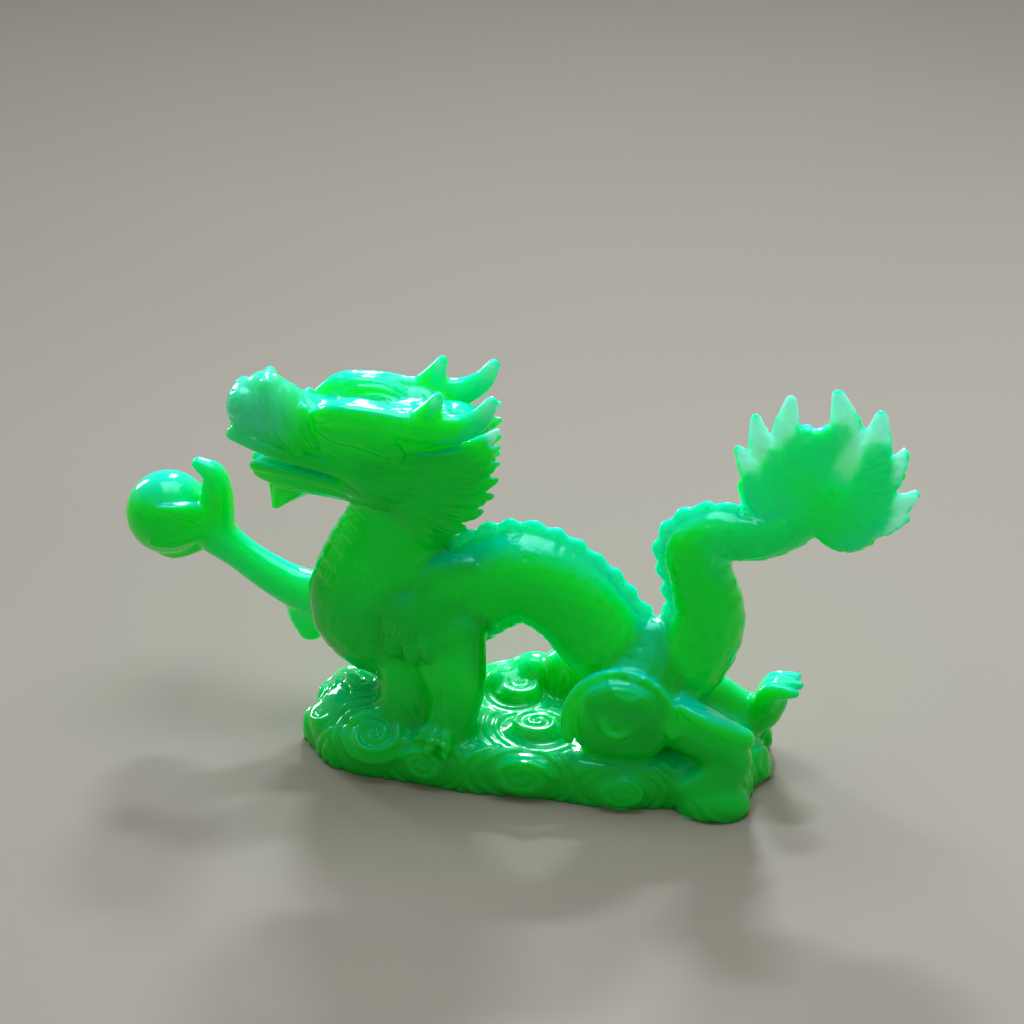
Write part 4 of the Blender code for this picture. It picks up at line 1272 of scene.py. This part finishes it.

# %% [markdown]
# Hollows
#
# The grooves get painted shade: the colour is made deeper green there, as shade that could be
# baked from ambient occlusion. Here a point is called hollow where it lies lower than the mean of
# its neighbours, which is quicker.

# %% Hollows
smooth_spots = np.stack([averaged(spots[:, k], dragon_mesh, 5) for k in range(3)], axis=1)
bump_height = ((spots - smooth_spots) * normals).sum(axis=1) * 1000
# painted shade in the grooves; the same mask also makes them a little rougher
add_attribute(dragon_mesh, "hollow", np.clip(0.5 - 4.0 * bump_height, 0, 1))

# %% [markdown]
# Where the light comes out again
#
# Faces that look up and back towards the sky get painted light: their colour is made bluer, as
# where light leaves the resin after a short way and keeps some of its blue. The nose, the fin and
# the slender roots of arm and tail get the same painted light all round.

# %% Where the light comes out again
sky = np.array((-0.1, 0.2, 0.97))
SLENDER_PARTS = ((figure(-40, 7.0, 14), 13.0), (figure(30, 0.5, 31), 10.0))
# painted light: faces towards the sky are made bluer
upward = soft_step(0.25, 0.95, averaged(normals @ sky, dragon_mesh, 6))
upward *= 0.4 + 0.6 * soft_step(0.008, 0.016, spots[:, 2])
off_the_fin = np.full(vertex_count, 1.0)
for middle, *_ in fin_stations:
    off_the_fin = np.minimum(off_the_fin, np.linalg.norm(spots - np.array(middle), axis=1))
on_fin = 1 - soft_step(0.0012, 0.0024, off_the_fin)
slender = near_balls(SLENDER_PARTS, 0.6)
# painted light all round the nose, the fin and the slender roots of arm and tail
for mask, share in ((muzzle_end, 0.8), (on_fin, 0.9), (slender, 0.28)):
    upward = np.maximum(upward, share * mask)
add_attribute(dragon_mesh, "upward", upward)

# %% [markdown]
# Writing shader maths as plain Python
#
# Node trees are quick to draw by hand but hard to read in a script. A small class wraps a socket
# and lets the usual signs add the Math nodes, so a mask reads like a formula. Every other node
# comes from one method.

# %% Writing shader maths as plain Python
class Value:
    """A number that changes over the surface, held as a socket of a node tree."""

    def __init__(self, tree, socket):
        self.tree = tree
        self.socket = socket

    def add(self, kind, settings=(), **sockets):
        """A new node: its settings first, then the values or links of its sockets."""
        made = self.tree.nodes.new(kind)
        for name, value in dict(settings).items():
            setattr(made, name, value)
        for name, value in sockets.items():
            key = int(name[1:]) if name[1:].isdigit() else name.replace("_", " ")
            socket = made.inputs[key]
            if isinstance(value, Value):
                self.tree.links.new(value.socket, socket)
            else:
                socket.default_value = value
        return made

    def maths(self, operation, a, b):
        node = self.add("ShaderNodeMath", {"operation": operation}, i0=a, i1=b)
        return Value(self.tree, node.outputs[0])

    def __add__(self, other): return self.maths("ADD", self, other)
    def __radd__(self, other): return self.maths("ADD", other, self)
    def __sub__(self, other): return self.maths("SUBTRACT", self, other)
    def __rsub__(self, other): return self.maths("SUBTRACT", other, self)
    def __mul__(self, other): return self.maths("MULTIPLY", self, other)
    def __rmul__(self, other): return self.maths("MULTIPLY", other, self)
    def __pow__(self, other): return self.maths("POWER", self, other)

    def mixed(self, low, high):
        """The colour low where this value is 0 and high where it is 1."""
        node = self.add("ShaderNodeMix", {"data_type": "RGBA"}, i0=self, i6=low, i7=high)
        return Value(self.tree, node.outputs[2])


# %% [markdown]
# The resin
#
# The resin is poured, clear and evenly dyed. Light enters, is scattered, and comes out again some
# millimetres away, so the piece glows where it is lit from behind. Plain colour with gloss looks
# like paint, and true glass is too clear, so it is made with strong subsurface scattering, whose
# reach is longest for green. On top of that the attributes paint light and shade into the colour:
# painted shade makes the thick core, all that stands low and the grooves deeper green, painted
# light makes faces towards the sky, the nose, the fin and the slender roots bluer, and a painted
# glow makes thin free parts paler, with a painted highlight on the nose. Soft clouds in the dye
# keep large areas from looking flat, and a fine bump keeps the gloss from being perfect.

# %% The resin
DYE, DYE_CLOUD = (0.0, 0.98, 0.03, 1), (0.0, 0.95, 0.06, 1)
# painted shade for the thick core, low parts and grooves
CORE_SHADE_GREEN, HOLLOW_SHADE_GREEN = (0.0, 0.60, 0.02, 1), (0.0, 0.86, 0.02, 1)
# painted light for faces towards the sky, painted glow for thin free parts, painted nose highlight
LIT_GREEN, THIN_GLOW_GREEN, RIM_GLOW_WHITE = (0.0, 0.78, 0.62, 1), (0.0, 0.77, 0.64, 1), (0.55, 0.86, 0.76, 1)


def jade_resin():
    material = bpy.data.materials.new("jade_resin")
    material.use_nodes = True
    tree = material.node_tree
    resin = tree.nodes["Principled BSDF"]
    start = Value(tree, None)
    thin, rim, hollow, upward, core_shade = (
        Value(tree, start.add("ShaderNodeAttribute", {"attribute_name": name}).outputs["Fac"])
        for name in ("thinness", "rim", "hollow", "upward", "core_shade")
    )
    where = Value(tree, start.add("ShaderNodeTexCoord").outputs["Object"])
    dye = start.add("ShaderNodeTexNoise", Vector=where, Scale=70.0, Detail=3.0, Distortion=1.2)
    dye = Value(tree, dye.outputs["Fac"])
    grain = start.add("ShaderNodeTexNoise", Vector=where, Scale=900.0, Detail=2.0)
    grain = Value(tree, grain.outputs["Fac"])
    even = (dye * 0.6).mixed(DYE, DYE_CLOUD)
    # painted shade on the core, low parts and grooves
    deep = (hollow * 0.4).mixed(core_shade.mixed(even, CORE_SHADE_GREEN), HOLLOW_SHADE_GREEN)
    # painted light on faces towards the sky
    lit = upward.mixed(deep, LIT_GREEN)
    # painted glow on thin free parts and a painted highlight on the nose
    colour = rim.mixed((thin * 0.8).mixed(lit, THIN_GLOW_GREEN), RIM_GLOW_WHITE)
    tree.links.new(colour.socket, resin.inputs["Base Color"])
    rough = 0.05 + grain * 0.06 + hollow * 0.05
    tree.links.new(rough.socket, resin.inputs["Roughness"])
    bump = start.add("ShaderNodeBump", Strength=0.12, Distance=0.0002, Height=grain + dye * 0.6)
    tree.links.new(bump.outputs["Normal"], resin.inputs["Normal"])
    resin.inputs["IOR"].default_value = 1.58
    resin.inputs["Subsurface Weight"].default_value = 1.0
    resin.inputs["Subsurface Radius"].default_value = (0.05, 1.0, 0.5)
    resin.inputs["Subsurface Scale"].default_value = 0.005
    resin.inputs["Specular Tint"].default_value = (0.3, 1.0, 0.85, 1)
    print("resin with", len(tree.nodes), "nodes")
    return material


dragon_mesh.materials.append(jade_resin())
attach(dragon, "root")
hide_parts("dragon")

# %% [markdown]
# Table and backdrop
#
# The piece stands on a plain pale table. A flat sheet that runs out of view is all that the
# picture needs, in a warm light grey with a faint unevenness.

# %% Table and backdrop
sheet = bmesh.new()
bmesh.ops.create_grid(sheet, x_segments=8, y_segments=8, size=3.0)
table_top = mesh_object(sheet, "table_top")
table_top.location = (0, 1.2, 0)
table_material = bpy.data.materials.new("pale_table")
table_material.use_nodes = True
table_tree = table_material.node_tree
table_shader = table_tree.nodes["Principled BSDF"]
start = Value(table_tree, None)
spread = Value(table_tree, start.add("ShaderNodeTexCoord").outputs["Object"])
cloudy = start.add("ShaderNodeTexNoise", Vector=spread, Scale=6.0, Detail=2.0)
cloudy = Value(table_tree, cloudy.outputs["Fac"])
DARKER_TABLE, PALER_TABLE = (0.305, 0.28, 0.256, 1), (0.335, 0.31, 0.284, 1)
table_colour = cloudy.mixed(DARKER_TABLE, PALER_TABLE)
table_tree.links.new(table_colour.socket, table_shader.inputs["Base Color"])
table_shader.inputs["Roughness"].default_value = 0.9
table_shader.inputs["Specular IOR Level"].default_value = 0.05
table_top.data.materials.append(table_material)

# %% [markdown]
# Light
#
# In the picture the light comes from behind the dragon and a little from the left: it shines
# through the fan and the antlers, and the shadow falls towards the viewer. Two small window panes
# one above the other give that shadow and the short bright bars on all that faces up and away. A
# window at the side and a soft lamp overhead light the rest, and a pale surround fills the front.

# %% Light
AIM = Vector((0.13, -0.10, 0.0))
DAYLIGHT, SKYLIGHT = (0.90, 0.98, 1.0), (0.95, 0.98, 1.0)


def soft_lamp(name, place, size, watts, spread, colour):
    lamp = bpy.data.lights.new(name, "AREA")
    lamp.shape = "RECTANGLE"
    lamp.size, lamp.size_y = size
    lamp.energy = watts
    lamp.color = colour
    lamp.spread = spread
    item = bpy.data.objects.new(name, lamp)
    item.location = place
    item.rotation_mode = "QUATERNION"
    item.rotation_quaternion = (AIM - item.location).to_track_quat("-Z", "Y")
    bpy.context.scene.collection.objects.link(item)
    return item


soft_lamp("upper_pane", Vector((-0.21, 1.04, 0.98)), (0.22, 0.06), 0.72, 0.9, DAYLIGHT)
soft_lamp("lower_pane", Vector((-0.21, 1.17, 0.74)), (0.22, 0.06), 0.72, 0.9, DAYLIGHT)
soft_lamp("side_window", Vector((-1.00, 0.80, 0.36)), (0.20, 0.50), 1.0, 1.2, DAYLIGHT)
soft_lamp("overhead", Vector((0.05, 0.12, 0.60)), (0.5, 0.4), 0.8, 1.6, SKYLIGHT)
world = bpy.data.worlds.new("studio")
bpy.context.scene.world = world
world.use_nodes = True
world.node_tree.nodes["Background"].inputs["Color"].default_value = (1.0, 0.96, 0.8, 1)
world.node_tree.nodes["Background"].inputs["Strength"].default_value = 0.34

# %% [markdown]
# Camera
#
# The camera stands where the picture was taken from: about eleven degrees round to the right and
# 27 degrees above the table, some 30 cm away, with a lens that takes in 26 degrees. These came
# from matching the plinth's corners and the pearl, and they can be read off as plain numbers.

# %% Camera
CAMERA_PLACE = Vector((0.04754, -0.26191, 0.17366))
AZIMUTH, ELEVATION = math.radians(11), math.radians(27)
camera = bpy.data.objects.new("camera", bpy.data.cameras.new("camera"))
camera.data.sensor_width = 36
camera.data.lens = 36 * 2200 / 1024
camera.data.clip_start = 0.01
camera.location = CAMERA_PLACE
camera.rotation_mode = "QUATERNION"
looking = Vector((-math.sin(AZIMUTH) * math.cos(ELEVATION), math.cos(AZIMUTH) * math.cos(ELEVATION),
                  -math.sin(ELEVATION)))
camera.rotation_quaternion = looking.to_track_quat("-Z", "Y")
bpy.context.scene.collection.objects.link(camera)
bpy.context.scene.camera = camera
bpy.context.scene.view_settings.view_transform = "Standard"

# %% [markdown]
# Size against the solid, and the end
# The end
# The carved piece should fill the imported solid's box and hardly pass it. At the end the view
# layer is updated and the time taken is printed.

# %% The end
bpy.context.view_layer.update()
print("made in", round(time.time() - started, 1), "s")
